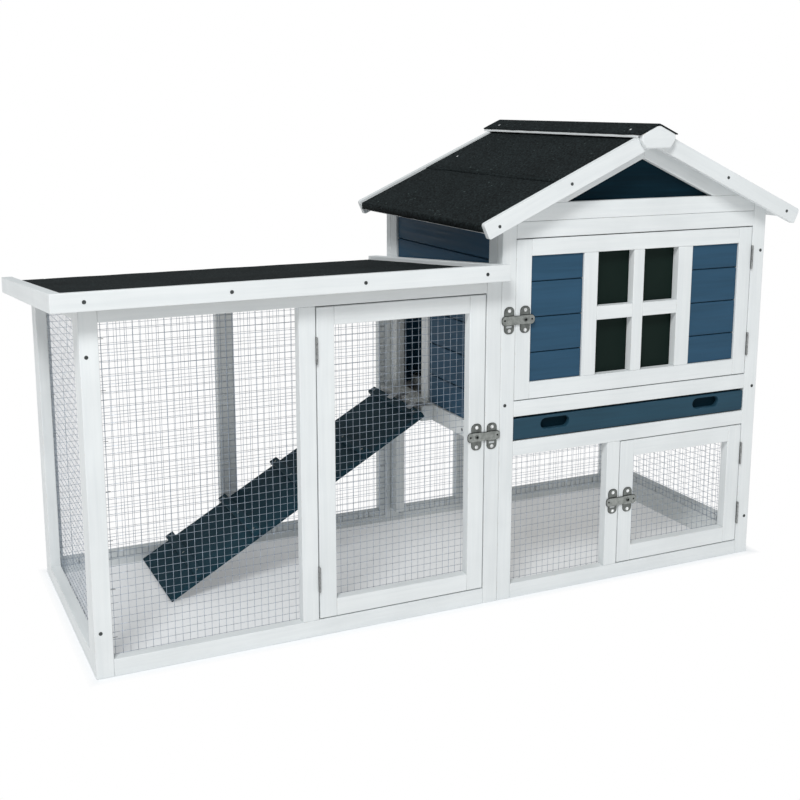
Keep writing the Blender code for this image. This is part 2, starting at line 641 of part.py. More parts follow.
def latch(name, plate_at, keeper_at, pivot):
    """A turning latch: its plate on the door, its keeper on the post and the arm across both."""
    width, height = LATCH_PLATE
    plate_back = -GAP
    arm_back = plate_back - LATCH_PLATE_THICK - GAP
    across, up = plate_at
    keeper_across, keeper_up = keeper_at
    keeper = round_ended(keeper_across - width / 2, keeper_across + width / 2,
                         keeper_up - height / 2, keeper_up + height / 2)
    flat_piece(name + "_keeper", "front", [keeper], plate_back - LATCH_PLATE_THICK, LATCH_PLATE_THICK,
               LATCH_METAL, ROOT)
    base = round_ended(across - width / 2, across + width / 2, up - height / 2, up + height / 2)
    outline_piece = flat_piece(name + "_outline", "front", [base], plate_back - LATCH_PLATE_THICK,
                               LATCH_PLATE_THICK, LATCH_METAL, pivot)
    plate = mesh_from_curve(outline_piece, name + "_plate", pivot)
    rivet(plate, name, across, up, plate_back - LATCH_PLATE_THICK, LATCH_ARM_THICK + RIVET_PLAY, pivot)
    arm_pivot = make_pivot(name + "_arm_pivot", (across, arm_back, up), pivot)
    towards = 1 if keeper_across > across else -1
    tail = across - towards * LATCH_TAB
    nose = keeper_across + towards * LATCH_NOSE
    arm = round_ended(min(tail, nose), max(tail, nose), up - LATCH_ARM_HEIGHT / 2,
                      up + LATCH_ARM_HEIGHT / 2)
    eye = arc((across, up), RIVET_RADIUS + RIVET_CLEARANCE, 0, 360, 16)[:-1]
    flat_piece(name + "_arm", "front", [arm, eye], arm_back - LATCH_ARM_THICK, LATCH_ARM_THICK,
               LATCH_METAL, arm_pivot)


def mesh_from_curve(source, name, pivot):
    """Turn a flat piece into a mesh with welded caps, so that it can be joined to others."""
    bpy.context.view_layer.update()
    depsgraph = bpy.context.evaluated_depsgraph_get()
    mesh = bpy.data.meshes.new_from_object(source.evaluated_get(depsgraph))
    work = bmesh.new()
    work.from_mesh(mesh)
    bmesh.ops.remove_doubles(work, verts=work.verts, dist=WELD)
    work.to_mesh(mesh)
    work.free()
    place = source.matrix_world.copy()
    bpy.data.objects.remove(source, do_unlink=True)
    obj = bpy.data.objects.new(name, mesh)
    HUTCH.objects.link(obj)
    obj.matrix_basis = place
    hang_on(obj, pivot)
    return obj


# ---------------------------------------------------------------- tray and ramp

def build_tray():
    pivot = make_pivot("tray_slide", (RIDGE_X, 0, FLOOR_RAIL_TOP), ROOT)
    left, right, bottom, top = TRAY_OPENING
    front = box_outline(left + DOOR_GAP, right - DOOR_GAP, bottom + DOOR_GAP, top - DOOR_GAP)
    slots = [round_ended(*edges, *TRAY_SLOT_Z) for edges in TRAY_SLOTS_X]
    flat_piece("tray_front", "front", [front] + slots, TRAY_FRONT_FACE, TRAY_FRONT_THICK, BLUE_WOOD,
               pivot)
    left, right, near, far = PAN
    floor = FLOOR_RAIL_TOP + DOOR_GAP
    pan = box_mesh("tray_pan", (left, near, floor), (right, far, floor + PAN_HEIGHT), HUTCH)
    shell = bmesh.new()
    shell.from_mesh(pan.data)
    lid = [face for face in shell.faces if face.normal.z > FACING_UP]
    bmesh.ops.delete(shell, geom=lid, context="FACES_ONLY")
    shell.to_mesh(pan.data)
    shell.free()
    walls = pan.modifiers.new("walls", "SOLIDIFY")
    walls.thickness = PAN_WALL
    walls.offset = -1
    walls.use_even_offset = True
    pan.data.materials.append(make_material("tray_pan", WIRE))
    hang_on(pan, pivot)


def build_ramp():
    """A board with cleats across it, hinged at its top end to the ledge."""
    rise = math.radians(RAMP_RISE)
    foot = Vector((RAMP_FOOT, 0, GAP))
    length = (RAMP_TOP_X - RAMP_FOOT) / math.cos(rise)
    pivot = make_pivot("ramp_pivot", (RAMP_PIN[0], 0, RAMP_PIN[1]), ROOT)
    tilt = Matrix.Translation(foot) @ Matrix.Rotation(-rise, 4, "Y")
    board = box_mesh("ramp", (0, RAMP_Y[0], 0), (length, RAMP_Y[1], RAMP_THICK), HUTCH)
    board.matrix_basis = tilt @ Matrix.Translation(board.location)
    for number in range(CLEATS):
        centre = CLEAT_FIRST + number * CLEAT_STEP
        cleat = box_mesh("ramp_cleat_%d" % number,
                         (centre - CLEAT_WIDTH / 2, RAMP_Y[0] - CLEAT_OVERHANG, RAMP_THICK / 2),
                         (centre + CLEAT_WIDTH / 2, RAMP_Y[1] + CLEAT_OVERHANG,
                          RAMP_THICK + CLEAT_HEIGHT), GUIDES)
        cleat.matrix_basis = tilt @ Matrix.Translation(cleat.location)
        join_to(board, cleat)
        hang_on(cleat, pivot)
    board.data.materials.append(make_material("ramp", RAMP_WOOD))
    hang_on(board, pivot)


# ---------------------------------------------------------------- the hutch

def build_hutch():
    build_run_frames()
    build_run_roof()
    build_house_frames()
    build_house_floor()
    build_gable_front()
    build_house_roof()
    build_fixed_meshes()

    run_pivot = door_pivot("run_door", RUN_DOOR, False)
    wire_door("run_door", RUN_DOOR, run_pivot)
    door_hinges("run_door", RUN_DOOR, False, RUN_DOOR_HINGES)
    latch("run_latch", *RUN_LATCH, run_pivot)

    small_pivot = door_pivot("small_door", SMALL_DOOR, True)
    wire_door("small_door", SMALL_DOOR, small_pivot)
    door_hinges("small_door", SMALL_DOOR, True, SMALL_DOOR_HINGES)
    latch("small_latch", *SMALL_LATCH, small_pivot)

    house_pivot = door_pivot("house_door", HOUSE_DOOR, True)
    house_door(house_pivot)
    door_hinges("house_door", HOUSE_DOOR, True, HOUSE_DOOR_HINGES)
    latch("house_latch", *HOUSE_LATCH, house_pivot)

    build_tray()
    build_ramp()


clear_scene()
HUTCH = make_collection("rabbit_hutch")
GUIDES = make_collection("guides")
ROOT = make_pivot("hutch_origin", (0, 0, 0))
build_hutch()
middle_x = (RUN_ROOF_LEFT + RIDGE_X + BARGE_REACH) / 2
middle_y = (CAP_FRONT + RUN_ROOF_BACK) / 2
ROOT["empty"].location = (-middle_x, -middle_y, 0)
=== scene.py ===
"""The looks of a rabbit hutch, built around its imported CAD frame.

Pieces are built in metres from the front left foot of the run: X runs right along the front,
Y runs back and Z runs up. ORIGIN then puts them in the frame.
"""

import math
import random

import bmesh
import bpy
from mathutils import Matrix, Vector, noise
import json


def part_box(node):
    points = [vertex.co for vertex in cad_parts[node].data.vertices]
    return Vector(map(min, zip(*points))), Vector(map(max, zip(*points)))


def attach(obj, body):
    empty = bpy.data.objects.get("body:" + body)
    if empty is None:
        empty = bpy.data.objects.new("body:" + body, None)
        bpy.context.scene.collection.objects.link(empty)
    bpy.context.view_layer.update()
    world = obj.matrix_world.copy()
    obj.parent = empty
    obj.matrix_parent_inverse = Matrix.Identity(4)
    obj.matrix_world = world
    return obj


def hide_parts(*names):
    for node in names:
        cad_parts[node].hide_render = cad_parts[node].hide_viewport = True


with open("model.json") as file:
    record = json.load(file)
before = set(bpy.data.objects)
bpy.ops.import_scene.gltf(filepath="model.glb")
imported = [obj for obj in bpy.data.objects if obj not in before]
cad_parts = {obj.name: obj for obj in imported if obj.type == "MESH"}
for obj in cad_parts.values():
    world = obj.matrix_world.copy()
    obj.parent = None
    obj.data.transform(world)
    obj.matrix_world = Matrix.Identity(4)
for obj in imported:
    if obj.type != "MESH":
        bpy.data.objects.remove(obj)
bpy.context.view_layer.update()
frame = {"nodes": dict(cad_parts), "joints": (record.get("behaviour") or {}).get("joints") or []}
ORIGIN = Vector((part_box("run_end_frame")[0].x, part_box("run_front_frame")[0].y, 0))
DICE = random.Random(11)
HERE = Matrix.Identity(4)
MIRRORED = Matrix.Diagonal((1, 1, -1, 1))

# Timber
TIMBER = 0.030  # width of a post or rail
DOOR_SLIT = 0.002  # gap all round a door
DOOR_MEMBER = 0.032  # stiles and rails of the wire doors
EDGE = 0.0012  # rounding of a timber's edges
CLEAR = 0.0003  # clearance between pieces that touch

# Blue boards
BOARD_PITCH = 0.066
BOARD_GROOVE = 0.0016
BOARD_EDGE = 0.0018
WALL_GROOVE = 0.6425  # height of the side walls' highest groove
DOOR_GROOVE = 0.605  # height of the house door's highest groove
BACKING = 0.0015  # thin sheet behind the grooves

# House and run
LEFT_POST_RIGHT = 0.778
RIGHT_POST_LEFT = 1.3195
MID_POST = (0.990, 1.019)
BACK_MID_POST = (0.9154, 0.945)
RUN_BACK_BAY_RIGHT = 0.722
RUN_BACK_POST = (-0.0154, 0.0209)  # its two sides, from the front mesh's right edge
GABLE_BOARD_TOP = 0.748
GABLE_HOLE_TOP = 0.8235
SIDE_POSTS_Y = (0.050, 0.450)
DOORWAY_FRONT = 0.3276
DOORWAY_TOP = 0.535
SIDE_RAIL = (0.285, 0.319)
SIDE_TOP_RAIL = 0.700

# Window of the house door
WINDOW_STILES = ((0.924, 0.955), (1.1400, 1.1734))
WINDOW_MUNTIN_X = (1.036, 1.060)
WINDOW_MUNTIN_Z = (0.524, 0.550)
HOUSE_DOOR_STILES = (0.0322, 0.0310)

# Roofs
ROOF_SLOPE = 0.4554
RUN_ROOF_FALL = 0.0875
RUN_PANEL_DOWN = 0.008
RUN_PANEL_THICK = 0.007
FELT_THICK = 0.0018
FELT_WAVER = 0.0006
FELT_SEAM = 0.1986  # from the ridge to the lap of the two strips
FELT_LAP = 0.030
FELT_HEM = 0.0014  # how far the felt's hem hangs above the foot of its panel
FELT_TURN = 0.0035  # radius of the felt's bend over the eave
CAP_BOARD_THICK = 0.0052
BLOCK_CHAMFER = (0.010, 0.014)  # across and up, at the ridge block's lower corners
BARGE_ROUNDING = {1: 0.004, 2: 0.006}  # of the outline's corners at the tip
BLOCK_CREST = 0.004  # half the width of the ridge block's flat top

# Wire
WIRE_RADIUS = 0.00036
WIRE_PITCH = 0.0127
WIRE_STEP = 2.5 * WIRE_PITCH  # length of a wire's straight parts
WIRE_WAVER = 0.00045  # how far a wire strays from its line
STAPLE_INSET = 0.0065
STAPLE_SPACING = 0.085
STAPLE_REACH = 0.0045
STAPLE_OVER = 4.2 * WIRE_RADIUS
STAPLE_RADIUS = 0.0005

# Hardware
LEAF_THICK = 0.0006
PIN_BEHIND = 0.0025  # from the front of a hinge node to its pin
KNUCKLE_RADIUS = 0.0018
KNUCKLES = 5
KNUCKLE_SEAM = 0.00025
PLATE_THICK = 0.0012
ARM_THICK = 0.0016
SHADOW_BORDER = 0.0007  # painted shadow: dark border round a latch's sheet metal
RIM_THICK = 0.0005
LATCH_SCREWS_UP = (0.0178, -0.0190)  # from the middle of a latch's plates
LATCH_SCREW_RADIUS = 0.0034
KEEPER_SLOT = (0.0062, 0.0138, 0.0098)  # half its length, its bottom and its top below the middle
ARM_HALVES = (0.0091, 0.0080, 0.0088)  # half the arm's height at its tail, neck and nose
ARM_PIN = (0.0018, 0.0005, 0.0002)  # radius, height and rim
ARM_PIN_INSET = 0.0062
ARM_END = 0.0072  # corner radius of a latch arm
ARM_SHOULDER = (0.0095, 0.0122)  # where a latch arm begins to narrow and has narrowed
ARM_HOLE = 0.0022
RIVET_RADIUS = 0.0020
RIVET_RING = (0.0041, 0.0024)
RIVET_RING_THICK = 0.0008
RIVET_HOLE_SHADE = (0.0026, 0.0006, 0.0007)  # painted shade in the rivet's hole, a black disc: radius, thickness and how far it stands out
PIN_PROUD = 0.0008  # how far a hinge's pin stands out at each end
SCREW_RADIUS = 0.0032
BARGE_SCREW_RADIUS = 0.0030
NAIL = (0.0029, 0.0009, 0.0003)  # radius, height and rim of a roofing nail's head

CAP_NAILS = (0.026, (0.010, 0.497))  # from the ridge, and back
SLOPE_NAIL = (0.143, 0.4730)
EDGE_NAILS = (0.06, 0.010)  # of the run's felt: from its sides, and behind the panel

# Screws, across and up
FASCIA_SCREWS_X = (0.0048, 0.2356, 0.467, 0.6991)
FASCIA_SCREWS_Z = 0.6305
POST_SCREWS = ((0.0102, 0.5376), (0.0105, 0.0794), (1.3409, 0.6362), (1.3394, 0.3584),
               (1.3395, 0.0797), (0.7589, 0.3794))
LEDGE_SCREW = (0.146, 0.298)
SIDE_SCREWS_Y = (0.035, 0.465)
SIDE_SCREWS_Z = (0.016, 0.302, 0.690)
BACK_SCREWS_X = (0.010, 0.375, 0.739, 0.764, 1.335)
BACK_SCREWS_Z = (0.016, 0.300)
BARGE_SCREWS = ((0.7238, 0.7127), (0.8707, 0.7825), (1.2235, 0.7846), (1.3730, 0.7155))

# Tray
TRAY_DROP = 0.0030  # how much lower the tray's front stands than its opening allows
TRAY_SHADE_SHEET_RISE = 0.0012  # how far the dark sheet of painted shade behind the front stands above it
TRAY_ROUNDING = {1: 0.006, 2: 0.003}  # of the front's right corners
TRAY_SHADE_SHEET_INSET = 0.001
TRAY_SHADE_SHEET_THICK = 0.0012
TRAY_SLOTS_X = ((0.8384, 0.9024), (1.1922, 1.2574))
TRAY_SLOTS_Z = (0.3245, 0.3455)
PAN_RIM = 0.0014
PAN_CORNER = 0.006

# Ramp
RAMP_RISE = math.radians(29.7)
RAMP_FOOT = Vector((0.190, 0, 0.0003))
RAMP_LENGTH = 0.6096
RAMP_Y = (0.250, 0.470)
RAMP_THICK = 0.010
RAMP_HINGES_Y = (0.288, 0.378)
RAMP_LEAF_HALF = 0.011
LEDGE_Y = (0.270, 0.4695)
LEDGE_Z = (0.287, 0.319)
CLEATS = 5
CLEAT_FIRST = 0.0716
CLEAT_STEP = 0.1315
CLEAT_WIDTH = 0.018
CLEAT_HEIGHT = 0.010
CLEAT_OVERHANG = 0.005
CLEAT_NAIL = (0.0026, 0.0006, 0.0002)  # radius, height and rim
CLEAT_NAIL_INSET = 0.012
RAMP_LEAF_THICK = 0.0009
RAMP_LEAF = (-0.0125, 0.005)  # its two ends, from the ramp's end
LEDGE_LEAF = 0.022  # length of the leaf on the ledge

# Camera and lights, from the same corner as the pieces
CAMERA_PLACE = Vector((-0.3120, -1.8285, 0.9245))
CAMERA_AIM = Vector((0.4140, 0.8895, -0.1933))
CAMERA_LENS = 53.36
CAMERA_SHIFT = (0.0049, -0.0794)
LIGHT_PLACE = (-1.39, -2.62, 4.07)
LIGHT_TARGET = (0.65, 0.1, 0.40)
LIGHT_SIZE = 1.3
LIGHT_POWER = 165
WORLD_LIGHT = 0.42


# ---------------- places

def box(node):
    """Lowest and highest corner of a CAD node, from the run's front left foot."""
    low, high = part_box(node)
    return low - ORIGIN, high - ORIGIN


def facing_front(start):
    """Across, up and into the piece become X, Z and Y."""
    return Matrix(((1, 0, 0, 0), (0, 0, 1, start), (0, 1, 0, 0), (0, 0, 0, 1)))


def facing_side(start):
    """Across, up and into the piece become Y, Z and X."""
    return Matrix(((0, 0, 1, start), (1, 0, 0, 0), (0, 1, 0, 0), (0, 0, 0, 1)))


def facing_up(start):
    return Matrix.Translation((0, 0, start))


def shifted(place, across, up, into=0.0):
    """A place moved along its own axes."""
    return place @ Matrix.Translation((across, up, into))


def extent(node, facing=facing_front):
    """Left, right, bottom, top, start and depth of a CAD node, as a facing sees it."""
    low, high = box(node)
    if facing is facing_side:
        return low.y, high.y, low.z, high.z, low.x, high.x - low.x
    return low.x, high.x, low.z, high.z, low.y, high.y - low.y


HOUSE_LEFT = box("house_front_frame")[0].x
RIDGE_X = sum(extent("ridge_cap")[:2]) / 2
RUN_ROOF_FRONT = box("run_roof_board_front")[0].y
RUN_ROOF_TOP = box("run_roof_board_front")[1].z
EAVE = box("roof_panel_left")[0]
UNDER_RIDGE = EAVE.z + ROOF_SLOPE * (RIDGE_X - EAVE.x) - 2 * CLEAR


def run_roof_height(back):
    """Top of the run roof's boards at a distance from the front."""
    return RUN_ROOF_TOP - RUN_ROOF_FALL * (back - RUN_ROOF_FRONT)


def slope_height(top, across):
    """Height across the house of a line that peaks at the ridge."""
    return top - ROOF_SLOPE * abs(across - RIDGE_X)


def under_roof(across):
    return slope_height(UNDER_RIDGE, across)


# ---------------- shapes

def rectangle(left, right, bottom, top):
    return [(left, bottom), (right, bottom), (right, top), (left, top)]


def arc(centre, radius, start, end, steps):
    """Points along an arc, angles in degrees."""
    points = []
    for step in range(steps + 1):
        angle = math.radians(start + (end - start) * step / steps)
        points.append((centre[0] + radius * math.cos(angle), centre[1] + radius * math.sin(angle)))
    return points


def circle(radius, steps=20, centre=(0, 0)):
    return arc(centre, radius, 0, 360, steps)[:-1]


def round_ended(left, right, bottom, top):
    """A lying slot with half-round ends."""
    radius = (top - bottom) / 2
    middle = (top + bottom) / 2
    right_end = arc((right - radius, middle), radius, -90, 90, 8)
    return right_end + arc((left + radius, middle), radius, 90, 270, 8)


def round_corners(outline, radii, steps=4):
    """Rounds the numbered corners of an outline."""
    points = []
    for number, corner in enumerate(outline):
        radius = radii.get(number, 0)
        if not radius:
            points.append(corner)
            continue
        here = Vector(corner)
        before = (Vector(outline[number - 1]) - here).normalized() * radius
        after = (Vector(outline[(number + 1) % len(outline)]) - here).normalized() * radius
        for step in range(steps + 1):
            share = step / steps
            point = here + before * (1 - share) ** 2 + after * share ** 2
            points.append((point.x, point.y))
    return points


def to_roof(outline):
    """Keeps the part of a rectangle that lies under the gable roof."""
    outline = outline[:3] + [(RIDGE_X, outline[2][1])] + outline[3:]
    kept = []
    for number, here in enumerate(outline):
        before = outline[number - 1]
        over_here = here[1] - under_roof(here[0])
        over_before = before[1] - under_roof(before[0])
        if over_here * over_before < 0:
            share = over_before / (over_before - over_here)
            kept.append((before[0] + (here[0] - before[0]) * share,
                         before[1] + (here[1] - before[1]) * share))
        if over_here <= 0:
            kept.append(here)
    return kept


def prism(outline, depth, rounding=EDGE, segments=2):
    """A flat shape with rounded edges; its rounded faces are the smooth ones."""
    work = bmesh.new()
    work.faces.new([work.verts.new((across, up, 0)) for across, up in outline])
    grown = bmesh.ops.extrude_face_region(work, geom=work.faces[:])
    lifted = [item for item in grown["geom"] if isinstance(item, bmesh.types.BMVert)]
    bmesh.ops.translate(work, verts=lifted, vec=(0, 0, depth))
    bmesh.ops.recalc_face_normals(work, faces=work.faces)
    if rounding:
        rounded = bmesh.ops.bevel(work, geom=work.edges[:], offset=rounding, segments=segments,
                                  affect="EDGES", profile=0.5, clamp_overlap=True)
        for face in rounded["faces"]:
            face.smooth = True
    return work


def plate(outlines, depth, rounding):
    """A flat shape with holes and rounded edges, from a filled curve."""
    curve = bpy.data.curves.new("plate", "CURVE")
    curve.dimensions = "2D"
    curve.fill_mode = "BOTH"
    curve.extrude = depth / 2 - rounding
    curve.bevel_depth = rounding
    curve.bevel_resolution = 1
    curve.offset = -rounding
    for outline in outlines:
        spline = curve.splines.new("POLY")
        spline.points.add(len(outline) - 1)
        for point, (across, up) in zip(spline.points, outline):
            point.co = (across, up, 0, 1)
        spline.use_cyclic_u = True
    holder = link_object("plate", curve)
    mesh = bpy.data.meshes.new_from_object(holder)
    work = bmesh.new()
    work.from_mesh(mesh)
    bmesh.ops.remove_doubles(work, verts=work.verts, dist=0.000001)
    bmesh.ops.translate(work, verts=work.verts, vec=(0, 0, depth / 2))
    bmesh.ops.recalc_face_normals(work, faces=work.faces)
    work.normal_update()
    for face in work.faces:
        face.smooth = abs(face.normal.z) < 0.99
    bpy.data.objects.remove(holder)
    bpy.data.curves.remove(curve)
    bpy.data.meshes.remove(mesh)
    return work


def skin(rings, flat=(), tip=None):
    """A closed surface over rings of points, smooth but for its flat sides, with flat ends or a tip."""
    work = bmesh.new()
    loops = [[work.verts.new(point) for point in ring] for ring in rings]
    count = len(loops[0])
    point = work.verts.new(tip) if tip else None
    for first, second in zip(loops, loops[1:] + ([None] if tip else [])):
        for number in range(count):
            after = (number + 1) % count
            far = (second[after], second[number]) if second else (point,)
            work.faces.new((first[number], first[after], *far)).smooth = number not in flat
    work.faces.new(loops[0])
    if not tip:
        work.faces.new(loops[-1][::-1])
    bmesh.ops.recalc_face_normals(work, faces=work.faces)
    return work


def tube(points, radius, up, sides=6):
    """A closed round rod along a line of points."""
    rings = []
    for number, point in enumerate(points):
        along = points[min(number + 1, len(points) - 1)] - points[max(number - 1, 0)]
        side = along.normalized().cross(up).normalized()
        top = side.cross(along.normalized())
        rings.append([point + (side * across + top * rise) * radius for across, rise in circle(1, sides)])
    return skin(rings)


def dome(radius, height, rim, steps=16):
    """A low round head on the plane, bulging towards minus Z."""
    bulge = height - rim
    levels = ((1.0, 0.0), (1.0, rim), (0.86, rim + bulge * 0.5), (0.55, rim + bulge * 0.85))
    rings = [[(x, y, -depth) for x, y in circle(radius * share, steps)] for share, depth in levels]
    return skin(rings, tip=(0, 0, -height))


def strip_along(ring_at, back_range, steps, flat=()):
    """A closed strip that runs back, its section given at each place by a ring of points."""
    front, back = back_range
    rings = []
    for step in range(steps + 1):
        here = front + (back - front) * step / steps
        rings.append([(x, here, z) for x, z in ring_at(here)])
    return skin(rings, flat)


def link_object(name, data):
    thing = bpy.data.objects.new(name, data)
    bpy.context.scene.collection.objects.link(thing)
    return thing


class Shape:
    """Gathers boards, wires or plates into one piece, with the grain that its material follows."""

    def __init__(self):
        self.points = []
        self.faces = []
        self.smooth = []
        self.grain = []
        self.edge = []

    def add(self, work, place=HERE, grain=(1, 0), lengthwise=False):
        """Adds a mesh; lengthwise turns its grain along the extrusion."""
        first = len(self.points)
        shift = Vector([DICE.uniform(0, 9) for _ in range(3)])
        along = Vector((grain[0], grain[1], 0)).normalized()
        across = Vector((-along.y, along.x, 0))
        for number, vert in enumerate(work.verts):
            vert.index = number
            spot = vert.co
            self.points.append(place @ spot)
            value = shift + Vector((spot.dot(along), spot.dot(across), spot.z))
            self.grain.extend(value.zyx if lengthwise else value)
            self.edge.append(float(all(face.smooth for face in vert.link_faces)))
        flipped = place.determinant() < 0
        for face in work.faces:
            ring = [first + vert.index for vert in face.verts]
            self.faces.append(ring[::-1] if flipped else ring)
            self.smooth.append(face.smooth)
        work.free()
        return self

    def board(self, outline, depth, place, rounding=EDGE):
        """A board whose grain runs along its longest edge."""
        longest = max(zip(outline, outline[1:] + outline[:1]),
                      key=lambda ends: math.dist(ends[0], ends[1]))
        grain = (longest[1][0] - longest[0][0], longest[1][1] - longest[0][1])
        return self.add(prism(outline, depth, rounding), place, grain)

    def make(self, name, finish, body="hutch"):
        """Makes the piece; it stands for the CAD node of its name, if there is one."""
        slot, material = finish
        replaces = [name] if name in frame["nodes"] else []
        mesh = bpy.data.meshes.new(name)
        mesh.from_pydata(self.points, [], self.faces)
        mesh.polygons.foreach_set("use_smooth", self.smooth)
        mesh.attributes.new("grain", "FLOAT_VECTOR", "POINT").data.foreach_set("vector", self.grain)
        mesh.attributes.new("edge", "FLOAT", "POINT").data.foreach_set("value", self.edge)
        mesh.materials.append(material)
        piece = link_object(name, mesh)
        piece.location = ORIGIN
        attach(piece, body)
        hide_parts(*replaces)


# ---------------- materials

def add_node(tree, kind, inputs=(), **settings):
    """A shader node whose inputs are linked to outputs or set to values."""
    node = tree.nodes.new("ShaderNode" + kind)
    for name, value in settings.items():
        setattr(node, name, value)
    for key, value in dict(inputs).items():
        if isinstance(value, bpy.types.NodeSocket):
            tree.links.new(value, node.inputs[key])
        else:
            node.inputs[key].default_value = value
    return node


def new_material(name, roughness, metallic=0.0):
    material = bpy.data.materials.new(name)
    material.use_nodes = True
    tree = material.node_tree
    shader = tree.nodes["Principled BSDF"]
    shader.inputs["Roughness"].default_value = roughness
    shader.inputs["Metallic"].default_value = metallic
    return material, tree, shader


def stretched_grain(tree, stretch=(1, 1, 1), from_attribute=False):
    """Coordinates that follow the grain, or the object where a piece has none."""
    if from_attribute:
        source = add_node(tree, "Attribute", attribute_name="grain").outputs["Vector"]
    else:
        source = add_node(tree, "TexCoord").outputs["Object"]
    return add_node(tree, "Mapping", {"Vector": source, "Scale": stretch}).outputs["Vector"]


def noise_node(tree, vector, scale, detail=4.0, distortion=0.0):
    inputs = {"Vector": vector, "Scale": scale, "Detail": detail, "Distortion": distortion}
    return add_node(tree, "TexNoise", inputs).outputs["Fac"]


def ramp_node(tree, factor, stops):
    """A colour ramp from (place, colour) pairs."""
    node = add_node(tree, "ValToRGB", {"Fac": factor})
    elements = node.color_ramp.elements
    while len(elements) < len(stops):
        elements.new(0.5)
    for element, (place, colour) in zip(elements, stops):
        element.position = place
        element.color = (*colour, 1)
    return node.outputs["Color"]


def mix_colour(tree, factor, first, second, blend="MIX"):
    inputs = {0: factor, 6: first, 7: second}
    return add_node(tree, "Mix", inputs, data_type="RGBA", blend_type=blend).outputs[2]


def map_range(tree, value, low, high, to_low, to_high):
    inputs = {"Value": value, "From Min": low, "From Max": high, "To Min": to_low, "To Max": to_high}
    return add_node(tree, "MapRange", inputs).outputs["Result"]


def maths_node(tree, operation, first, second=0.5):
    return add_node(tree, "Math", {0: first, 1: second}, operation=operation).outputs["Value"]


def surface(tree, shader, colour, gloss, heights):
    """Links a colour, a roughness and a chain of (height, strength, distance) bumps to the shader."""
    tree.links.new(colour, shader.inputs["Base Color"])
    tree.links.new(gloss, shader.inputs["Roughness"])
    normal = None
    for height, strength, distance in heights:
        node = add_node(tree, "Bump", {"Height": height, "Strength": strength, "Distance": distance})
        if normal:
            tree.links.new(normal, node.inputs["Normal"])
        normal = node.outputs["Normal"]
    tree.links.new(normal, shader.inputs["Normal"])


def painted_wood(name, light, dark, bare, roughness, specular, from_attribute=True):
    """Paint over pine: faint streaks of the grain, blotches, brush marks and rubbed edges."""
    material, tree, shader = new_material(name, roughness)
    shader.inputs["Specular IOR Level"].default_value = specular
    fine = stretched_grain(tree, (7, 150, 150), from_attribute)
    wide = stretched_grain(tree, (1.6, 22, 22), from_attribute)
    even = stretched_grain(tree, (1, 1, 1), from_attribute)
    streaks = noise_node(tree, fine, 1.0, 5.0, 0.4)
    rings = noise_node(tree, wide, 1.0, 3.0, 1.6)
    blotch = noise_node(tree, even, 9.0, 3.0)
    paint = ramp_node(tree, rings, ((0.30, dark), (0.62, light)))
    fibres = ramp_node(tree, streaks, ((0.34, dark), (0.60, light)))
    colour = mix_colour(tree, 0.5, paint, fibres)
    shade = ramp_node(tree, blotch, ((0.30, (0.93, 0.93, 0.93)), (0.70, (1, 1, 1))))
    colour = mix_colour(tree, 1.0, colour, shade, "MULTIPLY")
    if from_attribute:
        edge = add_node(tree, "Attribute", attribute_name="edge").outputs["Fac"]
        chips = map_range(tree, noise_node(tree, even, 160.0, 4.0), 0.56, 0.66, 0.0, 0.55)
        colour = mix_colour(tree, maths_node(tree, "MULTIPLY", edge, chips), colour, (*bare, 1))
    gloss = map_range(tree, streaks, 0.3, 0.7, roughness - 0.08, roughness + 0.10)
    surface(tree, shader, colour, gloss, ((streaks, 0.22, 0.0006), (rings, 0.10, 0.0012),
                                          (noise_node(tree, even, 420.0, 2.0), 0.05, 0.0003)))
    return material


def raw_wood():
    """Bare plywood, seen on the floor and under the roofs."""
    material, tree, shader = new_material("raw_wood", 0.7)
    streaks = noise_node(tree, stretched_grain(tree, (90, 5, 90)), 1.0, 6.0, 0.3)
    figure = noise_node(tree, stretched_grain(tree, (14, 1.2, 14)), 1.0, 4.0, 2.2)
    wood = ramp_node(tree, figure, ((0.30, (0.44, 0.40, 0.34)), (0.70, (0.56, 0.52, 0.46))))
    fibres = ramp_node(tree, streaks, ((0.35, (0.76, 0.74, 0.72)), (0.60, (1, 1, 1))))
    surface(tree, shader, mix_colour(tree, 1.0, wood, fibres, "MULTIPLY"),
            map_range(tree, streaks, 0.3, 0.7, 0.6, 0.8), ((streaks, 0.3, 0.0006),))
    return material


def roof_felt():
    """Black felt dressed with mineral grit."""
    material, tree, shader = new_material("roof_felt", 0.95)
    shader.inputs["Specular IOR Level"].default_value = 0.12
    even = stretched_grain(tree)
    grit = noise_node(tree, even, 260.0, 5.0)
    specks = add_node(tree, "TexVoronoi", {"Vector": even, "Scale": 330.0}).outputs["Color"]
    cloud = noise_node(tree, even, 7.0, 4.0)
    ground = ramp_node(tree, grit, ((0.38, (0.0020, 0.0035, 0.0038)), (0.64, (0.024, 0.033, 0.035))))
    picked = ramp_node(tree, specks, ((0.92, (0, 0, 0)), (0.98, (1, 1, 1))))
    colour = mix_colour(tree, picked, ground, (0.090, 0.125, 0.120, 1))
    shade = ramp_node(tree, cloud, ((0.3, (0.70, 0.70, 0.70)), (0.7, (1, 1, 1))))
    surface(tree, shader, mix_colour(tree, 1.0, colour, shade, "MULTIPLY"),
            map_range(tree, grit, 0.3, 0.7, 0.85, 1.0), ((grit, 0.8, 0.0016), (cloud, 0.25, 0.003)))
    return material


